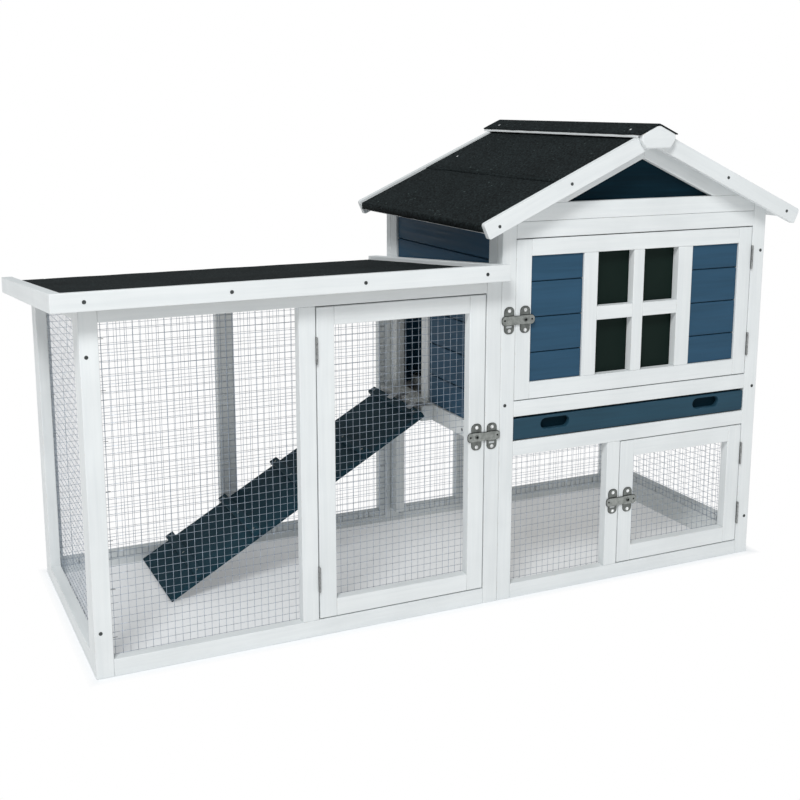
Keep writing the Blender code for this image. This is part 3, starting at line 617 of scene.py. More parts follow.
def metal(name, colour, roughness, scratch=0.12):
    """Plated steel with a cloudy finish and fine scratches."""
    material, tree, shader = new_material(name, roughness, 1.0)
    cloud = noise_node(tree, stretched_grain(tree), 160.0, 4.0)
    lines = noise_node(tree, stretched_grain(tree, (40, 900, 40)), 1.0, 3.0)
    darker = tuple(value * 0.62 for value in colour)
    surface(tree, shader, ramp_node(tree, cloud, ((0.32, darker), (0.66, colour))),
            map_range(tree, lines, 0.3, 0.7, roughness - 0.1, roughness + 0.12),
            ((lines, scratch, 0.0002), (cloud, scratch, 0.0003)))
    return material


def dark_pane():
    """Smoked acrylic with a faint film of dust."""
    material, tree, shader = new_material("dark_pane", 0.4)
    even = stretched_grain(tree)
    film = noise_node(tree, even, 9.0, 3.0, 0.3)
    tint = ramp_node(tree, film, ((0.3, (0.0055, 0.0130, 0.0105)), (0.7, (0.0075, 0.0160, 0.0130))))
    shader.inputs["Specular IOR Level"].default_value = 0.06
    surface(tree, shader, tint, map_range(tree, film, 0.3, 0.7, 0.40, 0.48),
            ((noise_node(tree, even, 700.0, 2.0), 0.03, 0.0002),))
    return material


BARE_WHITE = (0.62, 0.57, 0.48)
BARE_BLUE = (0.07, 0.12, 0.17)
WHITE = ("white_wood", painted_wood("white_wood", (0.79, 0.82, 0.825), (0.725, 0.76, 0.77),
                                    BARE_WHITE, 0.50, 0.4))
WHITE_PANEL = ("white_wood", painted_wood("white_panel", (0.74, 0.77, 0.77), (0.67, 0.70, 0.71),
                                          BARE_WHITE, 0.55, 0.4, False))
TRAY_BLUE = ("blue_wood", painted_wood("tray_blue", (0.019, 0.064, 0.100), (0.013, 0.048, 0.076),
                                       BARE_BLUE, 0.55, 0.2))
BLUE = ("blue_wood", painted_wood("blue_wood", (0.026, 0.082, 0.146), (0.018, 0.063, 0.112),
                                  BARE_BLUE, 0.58, 0.2))
# Painted shade: a much darker blue for places in shade, the gable panel under the roof and the sheet behind
# the tray.
PAINTED_SHADE_BLUE = ("blue_wood", painted_wood("painted_shade_blue", (0.0035, 0.020, 0.033), (0.0018, 0.011, 0.018),
                                         (0.05, 0.09, 0.13), 0.70, 0.06))
RAMP = ("ramp_wood", painted_wood("ramp_wood", (0.005, 0.040, 0.062), (0.003, 0.027, 0.042),
                                  (0.06, 0.09, 0.11), 0.60, 0.2))
RAW = ("raw_wood", raw_wood())
FELT = ("roof_felt", roof_felt())
WIRE = ("wire_mesh", metal("wire_mesh", (0.44, 0.51, 0.60), 0.42, 0.05))
STEEL = ("latch_metal", metal("latch_metal", (0.33, 0.35, 0.335), 0.34))
PLATE_STEEL = ("latch_metal", metal("plate_metal", (0.20, 0.215, 0.205), 0.40))
HINGE_STEEL = ("latch_metal", metal("hinge_metal", (0.38, 0.39, 0.39), 0.45))
# Painted shadow: the near-black rim round the latches' plates, keepers and arms.
SHADOW_EDGE_STEEL = ("latch_metal", metal("shadow_edge_metal", (0.055, 0.06, 0.058), 0.50))
BLACK_STEEL = ("latch_metal", metal("black_metal", (0.012, 0.013, 0.013), 0.60))
LEAF_STEEL = ("latch_metal", metal("leaf_metal", (0.50, 0.52, 0.54), 0.40, 0.10))
# Screw heads: grey steel of their own, darkened further as painted shade of their countersinks.
DARK_STEEL = ("latch_metal", metal("screw_metal", (0.10, 0.11, 0.11), 0.50))
BRIGHT_STEEL = ("latch_metal", metal("bright_metal", (0.88, 0.90, 0.90), 0.30, 0.06))
ZINC = ("tray_metal", metal("tray_metal", (0.62, 0.65, 0.66), 0.38, 0.10))
PANE = ("dark_pane", dark_pane())


def finish_node(node, finish):
    """A CAD node that stays gets its real finish."""
    slot, material = finish
    piece = frame["nodes"][node]
    piece.data.materials.clear()
    piece.data.materials.append(material)


# ---------------- frames

def timbers(name, outlines, facing=facing_front, body="hutch", finish=WHITE, rounding=EDGE):
    """A CAD node as separate timbers, over its whole depth."""
    start, depth = extent(name, facing)[4:]
    shape = Shape()
    for outline in outlines:
        shape.board(outline, depth, facing(start), rounding)
    shape.make(name, finish, body)


def door_edges(node):
    """Left, right, bottom and top of the opening round a door."""
    left, right, bottom, top = extent(node)[:4]
    return left - DOOR_SLIT, right + DOOR_SLIT, bottom - DOOR_SLIT, top + DOOR_SLIT


def make_run_frames():
    left, right, _, top, start, depth = extent("run_front_frame")
    door_left, door_right, door_bottom, door_top = door_edges("run_door_frame")
    under_board = run_roof_height(start + depth) - TIMBER - CLEAR
    bay = left + TIMBER
    timbers("run_front_frame", [
        rectangle(left, bay, 0, top), rectangle(door_right, right, 0, under_board),
        rectangle(bay, door_right, 0, door_bottom),
        rectangle(door_left - TIMBER, door_left, door_bottom, door_top),
        rectangle(bay, door_right, door_top, under_board)])
    left, right, _, top, start, depth = extent("run_back_frame")
    under_board = run_roof_height(start + depth) - TIMBER - CLEAR
    bay = left + TIMBER
    rail = top - TIMBER
    mesh_right = extent("run_front_mesh")[1]
    timbers("run_back_frame", [
        rectangle(left, bay, 0, top), rectangle(RUN_BACK_BAY_RIGHT, right, 0, under_board),
        rectangle(bay, RUN_BACK_BAY_RIGHT, 0, TIMBER),
        rectangle(bay, RUN_BACK_BAY_RIGHT, rail, under_board),
        rectangle(*(mesh_right + side for side in RUN_BACK_POST), TIMBER, rail)])
    front, back, _, top = extent("run_end_frame", facing_side)[:4]
    in_front, in_back = front + TIMBER, back - TIMBER

    def top_at(across, down=0.0):
        return across, top - RUN_ROOF_FALL * (across - front) - down

    timbers("run_end_frame", [
        [(front, 0), (in_front, 0), top_at(in_front), top_at(front)],
        [(in_back, 0), (back, 0), top_at(back), top_at(in_back)],
        rectangle(in_front, in_back, 0, TIMBER),
        [top_at(in_front, TIMBER), top_at(in_back, TIMBER), top_at(in_back), top_at(in_front)]],
        facing_side)


def house_posts(node):
    """The corner posts of the house's front or back, their heads cut to the roof."""
    left, right = extent(node)[:2]
    return [[(start, 0), (end, 0), (end, under_roof(end)), (start, under_roof(start))]
            for start, end in ((left, LEFT_POST_RIGHT), (RIGHT_POST_LEFT, right))]


def side_timbers(node):
    """The two posts and the two rails of a side of the house."""
    front, back, bottom, top = extent(node, facing_side)[:4]
    posts = [rectangle(front, SIDE_POSTS_Y[0], bottom, top), rectangle(SIDE_POSTS_Y[1], back, bottom, top)]
    return posts, [rectangle(*SIDE_POSTS_Y, *SIDE_RAIL), rectangle(*SIDE_POSTS_Y, SIDE_TOP_RAIL, top)]


def make_house_frames():
    door_bottom, door_top = door_edges("house_door_frame")[2:]
    small_bottom, small_top = door_edges("small_door_frame")[2:]
    tray_bottom, tray_top = door_edges("tray_front")[2:]
    between = (LEFT_POST_RIGHT, RIGHT_POST_LEFT)
    gable_bottom = extent("gable_frame_front")[2] - CLEAR
    rails = ((0, small_bottom), (small_top, tray_bottom), (tray_top, door_bottom), (door_top, gable_bottom))
    timbers("house_front_frame", house_posts("house_front_frame")
            + [rectangle(*between, *rail) for rail in rails]
            + [rectangle(*MID_POST, small_bottom, small_top)])
    posts, rails = side_timbers("house_left_frame")
    jamb = (DOORWAY_FRONT - TIMBER, DOORWAY_FRONT, SIDE_RAIL[1], DOORWAY_TOP)
    header = (jamb[0], SIDE_POSTS_Y[1], DOORWAY_TOP, DOORWAY_TOP + TIMBER)
    ledge_left, depth = extent("house_left_frame", facing_side)[4:]
    house_left = facing_side(HOUSE_LEFT)
    shape = Shape()
    for outline in posts + rails + [rectangle(*jamb), rectangle(*header)]:
        shape.board(outline, ledge_left + depth - HOUSE_LEFT, house_left)
    shape.board(rectangle(*LEDGE_Y, *LEDGE_Z), HOUSE_LEFT - ledge_left - CLEAR, facing_side(ledge_left))
    shape.make("house_left_frame", WHITE)
    posts, rails = side_timbers("house_right_frame")
    feet = [rectangle(*SIDE_POSTS_Y, 0, TIMBER), rectangle(*SIDE_POSTS_Y, TIMBER, 2 * TIMBER)]
    timbers("house_right_frame", posts + feet + rails, facing_side)
    timbers("house_back_frame", house_posts("house_back_frame")
            + [rectangle(*between, 0, TIMBER), rectangle(*between, *SIDE_RAIL),
               rectangle(*BACK_MID_POST, TIMBER, SIDE_RAIL[0])])


def grooves(highest, bottom, top):
    """Edges of the rows of boards from bottom to top."""
    heights = []
    height = highest
    while height > bottom + BOARD_GROOVE:
        heights.append(height)
        height -= BOARD_PITCH
    while heights[0] + BOARD_PITCH < top:
        heights.insert(0, heights[0] + BOARD_PITCH)
    return [bottom] + heights[::-1] + [top]


def blue_boards(name, highest, facing=facing_front, body="hutch", turned=False, cut=list, backing=None):
    """Rows of boards, each reshaped by cut, with a thin sheet that closes their grooves."""
    left, right, bottom, top, start, depth = extent(name, facing)
    place = shifted(facing(start), 0, 0, depth) @ MIRRORED if turned else facing(start)
    edges = grooves(highest, bottom, top)
    shape = Shape()
    for number, (low, high) in enumerate(zip(edges, edges[1:])):
        low_edge = low + (BOARD_GROOVE / 2 if number else 0)
        high_edge = high - (BOARD_GROOVE / 2 if number < len(edges) - 2 else 0)
        outline = cut(rectangle(left, right, low_edge, high_edge))
        if len(outline) > 2:
            shape.board(outline, depth - BACKING, place, BOARD_EDGE)
    backing = backing or cut(rectangle(left, right, bottom, top))
    shape.add(prism(backing, BACKING, 0), shifted(place, 0, 0, depth - BACKING))
    shape.make(name, BLUE, body)


def gable(node):
    """Outline of a node that fills the gable up to the roof."""
    left, right, bottom = extent(node)[:3]
    return [(left, bottom), (right, bottom), (right, under_roof(right)), (RIDGE_X, UNDER_RIDGE),
            (left, under_roof(left))]


def round_doorway(outline):
    """Keeps the part of a rectangle in front of the doorway and above it."""
    (front, low), _, (back, high), _ = outline
    jamb = DOORWAY_FRONT - TIMBER - CLEAR
    header = DOORWAY_TOP + TIMBER + CLEAR
    if high < header:
        return rectangle(front, jamb, low, high)
    if low >= header:
        return outline
    return [(front, low), (jamb, low), (jamb, header), (back, header), (back, high), (front, high)]


def make_walls():
    blue_boards("left_wall_boards", WALL_GROOVE, facing_side, cut=round_doorway)
    blue_boards("right_wall_boards", WALL_GROOVE, facing_side, turned=True)
    blue_boards("back_wall_boards", WALL_GROOVE, turned=True, cut=to_roof, backing=gable("back_wall_boards"))
    left, right, bottom = extent("gable_frame_front")[:3]
    boards = [to_roof(rectangle(left, right, bottom, GABLE_BOARD_TOP))]
    reach = (GABLE_HOLE_TOP - GABLE_BOARD_TOP) / ROOF_SLOPE
    outer = (UNDER_RIDGE - GABLE_BOARD_TOP) / ROOF_SLOPE
    for side in (-1, 1):
        boards.append([(RIDGE_X + side * reach, GABLE_BOARD_TOP), (RIDGE_X + side * outer, GABLE_BOARD_TOP),
                       (RIDGE_X, UNDER_RIDGE), (RIDGE_X, GABLE_HOLE_TOP)])
    timbers("gable_frame_front", boards)
    # The gable panel is painted with shade, darkened for the shadow under the bargeboards and ridge.
    timbers("gable_panel_front", [gable("gable_panel_front")], finish=PAINTED_SHADE_BLUE)


# ---------------- doors

def surround(outer, inner):
    """Two stiles of full height and two rails between them."""
    left, right, bottom, top = outer
    in_left, in_right, in_bottom, in_top = inner
    return [rectangle(left, in_left, bottom, top), rectangle(in_right, right, bottom, top),
            rectangle(in_left, in_right, bottom, in_bottom), rectangle(in_left, in_right, in_top, top)]


def make_doors():
    for door in ("run_door", "small_door"):
        outer = extent(door + "_frame")[:4]
        inner = [edge + way * DOOR_MEMBER for edge, way in zip(outer, (1, -1, 1, -1))]
        timbers(door + "_frame", surround(outer, inner), body=door)
    outer = extent("house_door_frame")[:4]
    boards_bottom, boards_top = extent("door_boards_left")[2:4]
    bottom, top = boards_bottom - CLEAR, boards_top + CLEAR
    left_stile, right_stile = WINDOW_STILES
    inner = (outer[0] + HOUSE_DOOR_STILES[0], outer[1] - HOUSE_DOOR_STILES[1], bottom, top)
    timbers("house_door_frame", surround(outer, inner) + [
        rectangle(*WINDOW_MUNTIN_X, bottom, top),
        rectangle(left_stile[1], WINDOW_MUNTIN_X[0], *WINDOW_MUNTIN_Z),
        rectangle(WINDOW_MUNTIN_X[1], right_stile[0], *WINDOW_MUNTIN_Z),
        rectangle(*left_stile, bottom, top), rectangle(*right_stile, bottom, top)], body="house_door")
    for side in ("left", "right"):
        blue_boards("door_boards_" + side, DOOR_GROOVE, body="house_door")
    finish_node("door_window_pane", PANE)


# ---------------- wire

def add_wire(shape, place, start, end, seed, depth):
    """A wire that strays a little from the straight line."""
    parts = max(int(math.dist(start, end) / WIRE_STEP), 1)
    line = []
    for part in range(parts + 1):
        across, up = (first + (last - first) * part / parts for first, last in zip(start, end))
        stray = [WIRE_WAVER * noise.noise((across * 7, up * 7, seed + more)) for more in (0, 40)]
        line.append(Vector((across + stray[0], up + stray[1], depth)))
    shape.add(tube(line, WIRE_RADIUS, Vector((0, 0, 1))), place)


def wire_panel(name, body="hutch", facing=facing_front, fall=0.0):
    """Welded mesh over a CAD panel's outline, with staples round its border."""
    left, right, bottom, top, start, _ = extent(name, facing)
    place = facing(start)

    def top_at(across):
        return top - fall * (across - left)

    shape = Shape()
    count = int((right - left) / WIRE_PITCH)
    margin = (right - left - count * WIRE_PITCH) / 2 + WIRE_RADIUS
    for number in range(count + 1):
        across = min(left + margin + number * WIRE_PITCH, right - WIRE_RADIUS)
        add_wire(shape, place, (across, bottom), (across, top_at(across)), 3, WIRE_RADIUS)
    for number in range(int((top - bottom) / WIRE_PITCH) + 1):
        up = bottom + WIRE_RADIUS + number * WIRE_PITCH
        end = right
        while top_at(end) < up and end > left:
            end -= WIRE_PITCH / 4
        add_wire(shape, place, (left, up), (end, up), 9, 2.5 * WIRE_RADIUS)
    shape.make(name, WIRE, body)
    across, upright = Vector((1, 0, 0)), Vector((0, 1, 0))
    spots = []
    for along in spread(left, right):
        spots += [(along, bottom + STAPLE_INSET, upright), (along, top_at(along) - STAPLE_INSET, upright)]
    for along in spread(bottom, top_at(right)):
        spots += [(left + STAPLE_INSET, along, across), (right - STAPLE_INSET, along, across)]
    shape = Shape()
    for x, y, way in spots:
        foot = Vector((x, y, 0))
        top_side = foot + Vector((0, 0, STAPLE_OVER))
        reach = way * STAPLE_REACH
        line = [foot - reach, top_side - reach, top_side + reach, foot + reach]
        shape.add(tube(line, STAPLE_RADIUS, Vector((way.y, way.x, 0.01)), 5), place)
    shape.make(name.replace("mesh", "staples"), STEEL, body)


def spread(first, last):
    """Places of the staples between two ends."""
    count = int((last - first) / STAPLE_SPACING) + 1
    return [first + (last - first) * (number + 0.5) / count for number in range(count)]


# ---------------- roofs

def roof_section(front, back, down, height):
    """Section of a piece of the run's roof that starts down below the boards' top."""
    upper = [(place, run_roof_height(place) - down) for place in (front, back)]
    return [(place, up - height) for place, up in upper] + upper[::-1]


def make_run_roof():
    front_low, front_high = box("run_roof_board_front")
    back_low, back_high = box("run_roof_board_back")
    left_low, left_high = box("run_roof_board_left")
    right_low = box("run_roof_board_right")[0]
    under_felt = RUN_PANEL_DOWN + FELT_THICK + FELT_WAVER
    front = roof_section(front_low.y, front_high.y, 0, TIMBER)
    back = roof_section(back_low.y, back_high.y, under_felt, TIMBER - under_felt)
    side = roof_section(left_low.y, back_high.y, 0, TIMBER)
    inner_left, inner_right = left_high.x + CLEAR, right_low.x - CLEAR
    width = left_high.x - left_low.x
    for word, outline, start, depth in (
            ("front", front, front_low.x, front_high.x - front_low.x),
            ("back", back, inner_left, inner_right - inner_left),
            ("left", side, left_low.x, width), ("right", side, right_low.x, width)):
        grain = (1, -RUN_ROOF_FALL) if outline is side else (1, 0)
        board = Shape().add(prism(outline, depth), facing_side(start), grain, outline is not side)
        board.make("run_roof_board_" + word, WHITE)
    left, right, _, _, start, depth = extent("run_roof_panel")
    panel = roof_section(start, start + depth, under_felt, RUN_PANEL_THICK)
    Shape().add(prism(panel, right - left, EDGE / 2), facing_side(left)).make("run_roof_panel", RAW)
    columns = 64

    def felt_ring(back):
        ring = []
        for column in range(columns + 1):
            across = left + (right - left) * column / columns
            waver = FELT_WAVER * noise.noise((across * 14, back * 14, 2))
            ring.append((across, run_roof_height(back) - RUN_PANEL_DOWN + waver))
        return ring + [(across, up - FELT_THICK) for across, up in ring[::-1]]

    felt = strip_along(felt_ring, (start, back_high.y - CLEAR), 44, (columns, 2 * columns + 1))
    Shape().add(felt).make("run_roof_felt", FELT)


def thick_line(line, thickness):
    """A ring of points: a line of points and, back along it, the same line moved to its right."""
    under = []
    for number, point in enumerate(line):
        before = Vector(line[max(number - 1, 0)])
        after = Vector(line[min(number + 1, len(line) - 1)])
        along = (after - before).normalized()
        under.append((point[0] + along.y * thickness, point[1] - along.x * thickness))
    return list(line) + under[::-1]


def lower_felt(back, side, top, eave, hem):
    """The lower strip's line from its lap to its hem, turned down over the eave."""
    start = RIDGE_X + side * (FELT_SEAM - FELT_LAP)
    sag = 0.0007 * noise.noise((back * 12, side * 5, 0))
    line = []
    for share in (step / 12 for step in range(13)):
        across = start + (eave - start) * share
        line.append((across, slope_height(top - FELT_THICK, across) + sag * share))
    edge = line[-1][1]
    for angle in map(math.radians, (25, 50, 75, 90)):
        out, down = math.sin(angle) * 0.7, 1 - math.cos(angle)
        line.append((eave + side * FELT_TURN * out, edge - FELT_TURN * down))
    hem += FELT_HEM + 0.0008 * noise.noise((back * 22, side * 3, 4))
    return line + [(eave + side * FELT_TURN * 0.62, hem)]


def upper_felt(back, side, top, eave, hem):
    """The upper strip's line from the ridge to its ragged edge."""
    start = RIDGE_X + side * 0.001
    end = RIDGE_X + side * (FELT_SEAM + 0.0012 * noise.noise((back * 16, side * 7, 1)))
    line = []
    for share in (step / 10 for step in range(11)):
        across = start + (end - start) * share
        waver = 0.0005 * noise.noise((back * 11, across * 11, 6))
        line.append((across, slope_height(top, across) + waver))
    return line


def make_gable_felts():
    """Two strips on each slope, the upper one over the lower one."""
    for side, word in ((-1, "left"), (1, "right")):
        low, high = box("roof_felt_" + word)
        settings = (side, high.z, RIDGE_X + side * (high.x - low.x), extent("roof_panel_" + word)[2])
        shape = Shape()
        for line_at in (lower_felt, upper_felt):
            def ring(back, line_at=line_at, settings=settings):
                line = line_at(back, *settings)
                return thick_line(line[::settings[0]], FELT_THICK - 0.0002)

            shape.add(strip_along(ring, (low.y, high.y), 60))
        shape.make("roof_felt_" + word, FELT)


def make_bargeboards():
    for end in ("front", "back"):
        for side, word in ((-1, "left"), (1, "right")):
            name = "bargeboard_%s_%s" % (end, word)
            low, high = box(name)
            top = high.z
            tip = low.x if side < 0 else high.x
            height = (slope_height(top, tip) - low.z) * (1 + ROOF_SLOPE ** 2)
            foot = tip - side * height * ROOF_SLOPE / (1 + ROOF_SLOPE ** 2)
            ridge = RIDGE_X + side * CLEAR / 2
            outline = [(ridge, slope_height(top, ridge) - height), (foot, slope_height(top, foot) - height),
                       (tip, slope_height(top, tip)), (ridge, slope_height(top, ridge))]
            outline = round_corners(outline, BARGE_ROUNDING)
            board = prism(outline, high.y - low.y)
            Shape().add(board, facing_front(low.y), (1, -side * ROOF_SLOPE)).make(name, WHITE)


def make_ridge():
    low, high = box("ridge_cap")
    half = RIDGE_X - low.x
    under = box("bargeboard_front_left")[1].z + CLEAR
    crown = under + CAP_BOARD_THICK
    front = box("ridge_block_front")[1].y + CLEAR
    shape = Shape()
    for side in (-1, 1):
        edge = RIDGE_X + side * (half - 0.0012)
        middle = RIDGE_X + side * CLEAR
        outline = [(across, slope_height(top, across)) for across, top in
                   ((middle, under), (edge, under), (edge, crown), (middle, crown))]
        shape.add(prism(outline, high.y - front), facing_front(front), lengthwise=True)
    shape.make("ridge_boards", WHITE)

    def felt_ring(back):
        line = []
        for step in range(-7, 8):
            across = RIDGE_X + half * step / 7
            side = 1 if step > 0 else -1
            droop = (step / 7) ** 4 * (0.0003 + 0.0010 * noise.noise((back * 30, side * 9, 2)))
            line.append((across, slope_height(high.z, across) - (droop if step else 0.0004)))
        return thick_line(line, FELT_THICK)

    Shape().add(strip_along(felt_ring, (low.y, high.y), 90)).make("ridge_cap", FELT)
    left, right, bottom = extent("ridge_block_front")[:3]
    across, up = BLOCK_CHAMFER
    crest = [(place, slope_height(crown - CLEAR, place))
             for place in (right, RIDGE_X + BLOCK_CREST, RIDGE_X - BLOCK_CREST, left)]
    outline = [(left + across, bottom), (right - across, bottom), (right, bottom + up)] + crest
    timbers("ridge_block_front", [outline + [(left, bottom + up)]], rounding=0.0022)


# ---------------- hardware

def screw_head(shape, place, radius=SCREW_RADIUS):
    """A countersunk head with a cross recess; minus Z of the place points out of the wood."""
    arm, half = radius * 0.62, radius * 0.16
    cross = [(half, arm), (half, half), (arm, half)]
    for _ in range(3):
        cross += [(up, -across) for across, up in cross[-3:]]
    shape.add(plate([circle(radius), cross], 0.0010, 0.00012), shifted(place, 0, 0, -0.0004))
    shape.add(prism(circle(radius * 0.9), 0.0005, 0), shifted(place, 0, 0, -0.0002))


def make_screws():
    shape = Shape()
    fascia = facing_front(RUN_ROOF_FRONT)
    right_face = facing_side(box("house_right_frame")[1].x) @ MIRRORED
    back_face = facing_front(box("house_back_frame")[1].y) @ MIRRORED
    spots = [(fascia, across, FASCIA_SCREWS_Z) for across in FASCIA_SCREWS_X]
    spots += [(facing_front(0), *spot) for spot in POST_SCREWS]
    spots.append((facing_side(HOUSE_LEFT), *LEDGE_SCREW))
    spots += [(right_face, across, up) for across in SIDE_SCREWS_Y for up in SIDE_SCREWS_Z]
    spots += [(back_face, across, up) for across in BACK_SCREWS_X for up in BACK_SCREWS_Z]
    for place, across, up in spots:
        screw_head(shape, shifted(place, across, up))
    barge_faces = (facing_front(box("bargeboard_front_left")[0].y),
                   facing_front(box("bargeboard_back_left")[1].y) @ MIRRORED)
    for place in barge_faces:
        for across, up in BARGE_SCREWS:
            screw_head(shape, shifted(place, across, up), BARGE_SCREW_RADIUS)
    shape.make("wood_screws", DARK_STEEL)


def roof_place(across, back, top):
    """A place on the gable roof whose minus Z points out of the roof."""
    side = 1 if across > RIDGE_X else -1
    along = Vector((1, 0, -side * ROOF_SLOPE)).normalized()
    into = Vector((-side * ROOF_SLOPE, 0, -1)).normalized()
    place = Matrix((along, into.cross(along), into)).transposed().to_4x4()
    place.translation = Vector((across, back, slope_height(top, across)))
    return place


def make_nails():
    """Broad-headed nails that hold the felts."""
    cap_top = box("ridge_cap")[1].z
    felt_top = box("roof_felt_left")[1].z
    places = []
    for side in (-1, 1):
        places += [roof_place(RIDGE_X + side * CAP_NAILS[0], back, cap_top) for back in CAP_NAILS[1]]
        places.append(roof_place(RIDGE_X + side * SLOPE_NAIL[0], SLOPE_NAIL[1], felt_top))
    panel_low, panel_high = box("run_roof_panel")
    inset, behind = EDGE_NAILS
    back = panel_high.y + behind
    lean = Matrix.Rotation(math.pi - math.atan(RUN_ROOF_FALL), 4, "X")
    for number in range(3):
        across = panel_low.x + inset + (panel_high.x - panel_low.x - 2 * inset) * number / 2
        places.append(Matrix.Translation((across, back, run_roof_height(back) - RUN_PANEL_DOWN)) @ lean)
    shape = Shape()
    for place in places:
        shape.add(dome(*NAIL), place)
    shape.make("felt_nails", BRIGHT_STEEL)


def make_hinges(door, side):
    """A door's two hinges; the post's leaf lies towards side, 1 for right and -1 for left."""
    for word in ("upper", "lower"):
        name = "%s_hinge_%s" % (door, word)
        low, high = box(name)
        middle = ((low.x + high.x) / 2, low.y + PIN_BEHIND)
        height = high.z - low.z
        part = height / KNUCKLES
        fixed = Shape()
        moving = Shape()
        for number in range(KNUCKLES):
            knuckle = prism(circle(KNUCKLE_RADIUS, 18, middle), part - 2 * KNUCKLE_SEAM, 0.0003, 1)
            target = moving if number % 2 else fixed
            target.add(knuckle, facing_up(low.z + number * part + KNUCKLE_SEAM))
        pin = prism(circle(KNUCKLE_RADIUS * 0.45, 12, middle), height + 2 * PIN_PROUD, 0.0003, 1)
        fixed.add(pin, facing_up(low.z - PIN_PROUD))
        outer = DOOR_SLIT / 2 - CLEAR * 0.7
        for shape, way in ((fixed, side), (moving, -side)):
            edges = sorted(middle[0] + way * reach for reach in (outer - LEAF_THICK, outer))
            leaf = rectangle(*edges, middle[1] + 0.0012, high.y)
            shape.add(prism(leaf, height, 0), facing_up(low.z))
        fixed.make(name, HINGE_STEEL)
        moving.make(name.replace("hinge", "hinge_leaf"), HINGE_STEEL, door)


def latch_outline(centre, width, height, inset=0.0):
    """Outline of a latch plate: full round ends on a slightly narrower waist."""
    across, up = centre
    corner = width * 0.42 - inset
    waist = width * 0.46 - inset
    half = width / 2 - inset
    rise = height / 2 - inset - corner
    points = []
    for way_x, way_y, start in ((1, 1, 0), (-1, 1, 90), (-1, -1, 180), (1, -1, 270)):
        turn = arc((across + way_x * (half - corner), up + way_y * rise), corner, start, start + 90, 6)
        neck = [(across + way_x * half, up + way_y * rise * 0.62),
                (across + way_x * waist, up + way_y * rise * 0.40)]
        points += neck[::-1] + turn if way_x == way_y else turn + neck
    return points


def plate_with_shadow_rim(name, body, place, outlines, thick, finish):
    """Sheet metal with a dark border of painted shadow round its edge; outlines gives its holes and outline
    for an inset.
    """
    Shape().add(plate(outlines(SHADOW_BORDER), thick - RIM_THICK, 0.0002), place).make(name, finish, body)
    rim = Shape().add(plate(outlines(0.0), RIM_THICK, 0.0001), shifted(place, 0, 0, thick - RIM_THICK))
    rim.make(name + "_rim", SHADOW_EDGE_STEEL, body)


def latch_base(name, body, slotted):
    """A plate or keeper with its two bright screws; a keeper has a slot under the arm's nose."""
    left, right, bottom, top, start, depth = extent(name)
    back = start + depth if slotted else -CLEAR
    across, up = (left + right) / 2, (bottom + top) / 2

    def outlines(inset):
        shapes = [latch_outline((across, up), right - left, top - bottom, inset)]
        if slotted:
            half, bottom_down, top_down = KEEPER_SLOT
            shapes.append(round_ended(across - half, across + half, up - bottom_down, up - top_down))
        return shapes

    face = facing_front(back - PLATE_THICK)
    plate_with_shadow_rim(name, body, face, outlines, PLATE_THICK, PLATE_STEEL)
    screws = Shape()
    for rise in LATCH_SCREWS_UP:
        screw_head(screws, shifted(face, across, up + rise), LATCH_SCREW_RADIUS)
    screws.make(name + "_screws", BRIGHT_STEEL, body)
    return across, up, back


def latch_arm_outline(tail, span, nose, inset=0.0):
    """A strap with round ends that narrows between the two plates."""
    tail_half, neck_half, nose_half = (half - inset for half in ARM_HALVES)
    start, end = ARM_SHOULDER
    upper = arc((-tail + inset + ARM_END, tail_half - ARM_END), ARM_END, 180, 90, 5)
    upper += [(start, tail_half), (end, neck_half), (span - end, neck_half), (span - start, nose_half)]
    upper += arc((nose - inset - ARM_END, nose_half - ARM_END), ARM_END, 90, 0, 5)
    return upper + [(across, -up) for across, up in reversed(upper)]


def make_latch(name, door):
    across, up, back = latch_base(name + "_plate", door, False)
    keeper = latch_base(name + "_keeper", "hutch", True)[0]
    left, right, _, _, front, _ = extent(name + "_arm")

    def over_rivet(start):
        return shifted(facing_front(start), across, up)

    rivet = Shape()
    rivet.add(prism(circle(RIVET_RADIUS, 14), back - front, 0), over_rivet(front))
    rivet.add(plate([circle(radius) for radius in RIVET_RING], RIVET_RING_THICK, 0.0002),
              over_rivet(front - RIVET_RING_THICK - CLEAR / 2))
    rivet.make(name + "_rivet", PLATE_STEEL, door)
    # Painted shade: a black disc in the rivet's hole stands for the dark inside of the hollow rivet.
    radius, thick, out = RIVET_HOLE_SHADE
    hole_shade = Shape().add(prism(circle(radius, 14), thick, 0.0001, 1), over_rivet(front - out - CLEAR / 2))
    hole_shade.make(name + "_rivet_hole_shade", BLACK_STEEL, door)
    side = 1 if keeper > across else -1
    span = abs(keeper - across)
    tail, nose = (across - left, right - across)[::side]

    def outlines(inset):
        return [latch_arm_outline(tail, span, nose, inset), circle(ARM_HOLE, 14)]

    place = over_rivet(front) @ Matrix.Diagonal((side, 1, 1, 1))
    plate_with_shadow_rim(name + "_arm", name, place, outlines, ARM_THICK, STEEL)
    pins = Shape()
    for spot in (-tail + ARM_PIN_INSET, nose - ARM_PIN_INSET):
        pins.add(dome(*ARM_PIN, 10), shifted(place, spot, 0.0005))
    pins.make(name + "_arm_pins", BLACK_STEEL, name)


# ---------------- tray and ramp

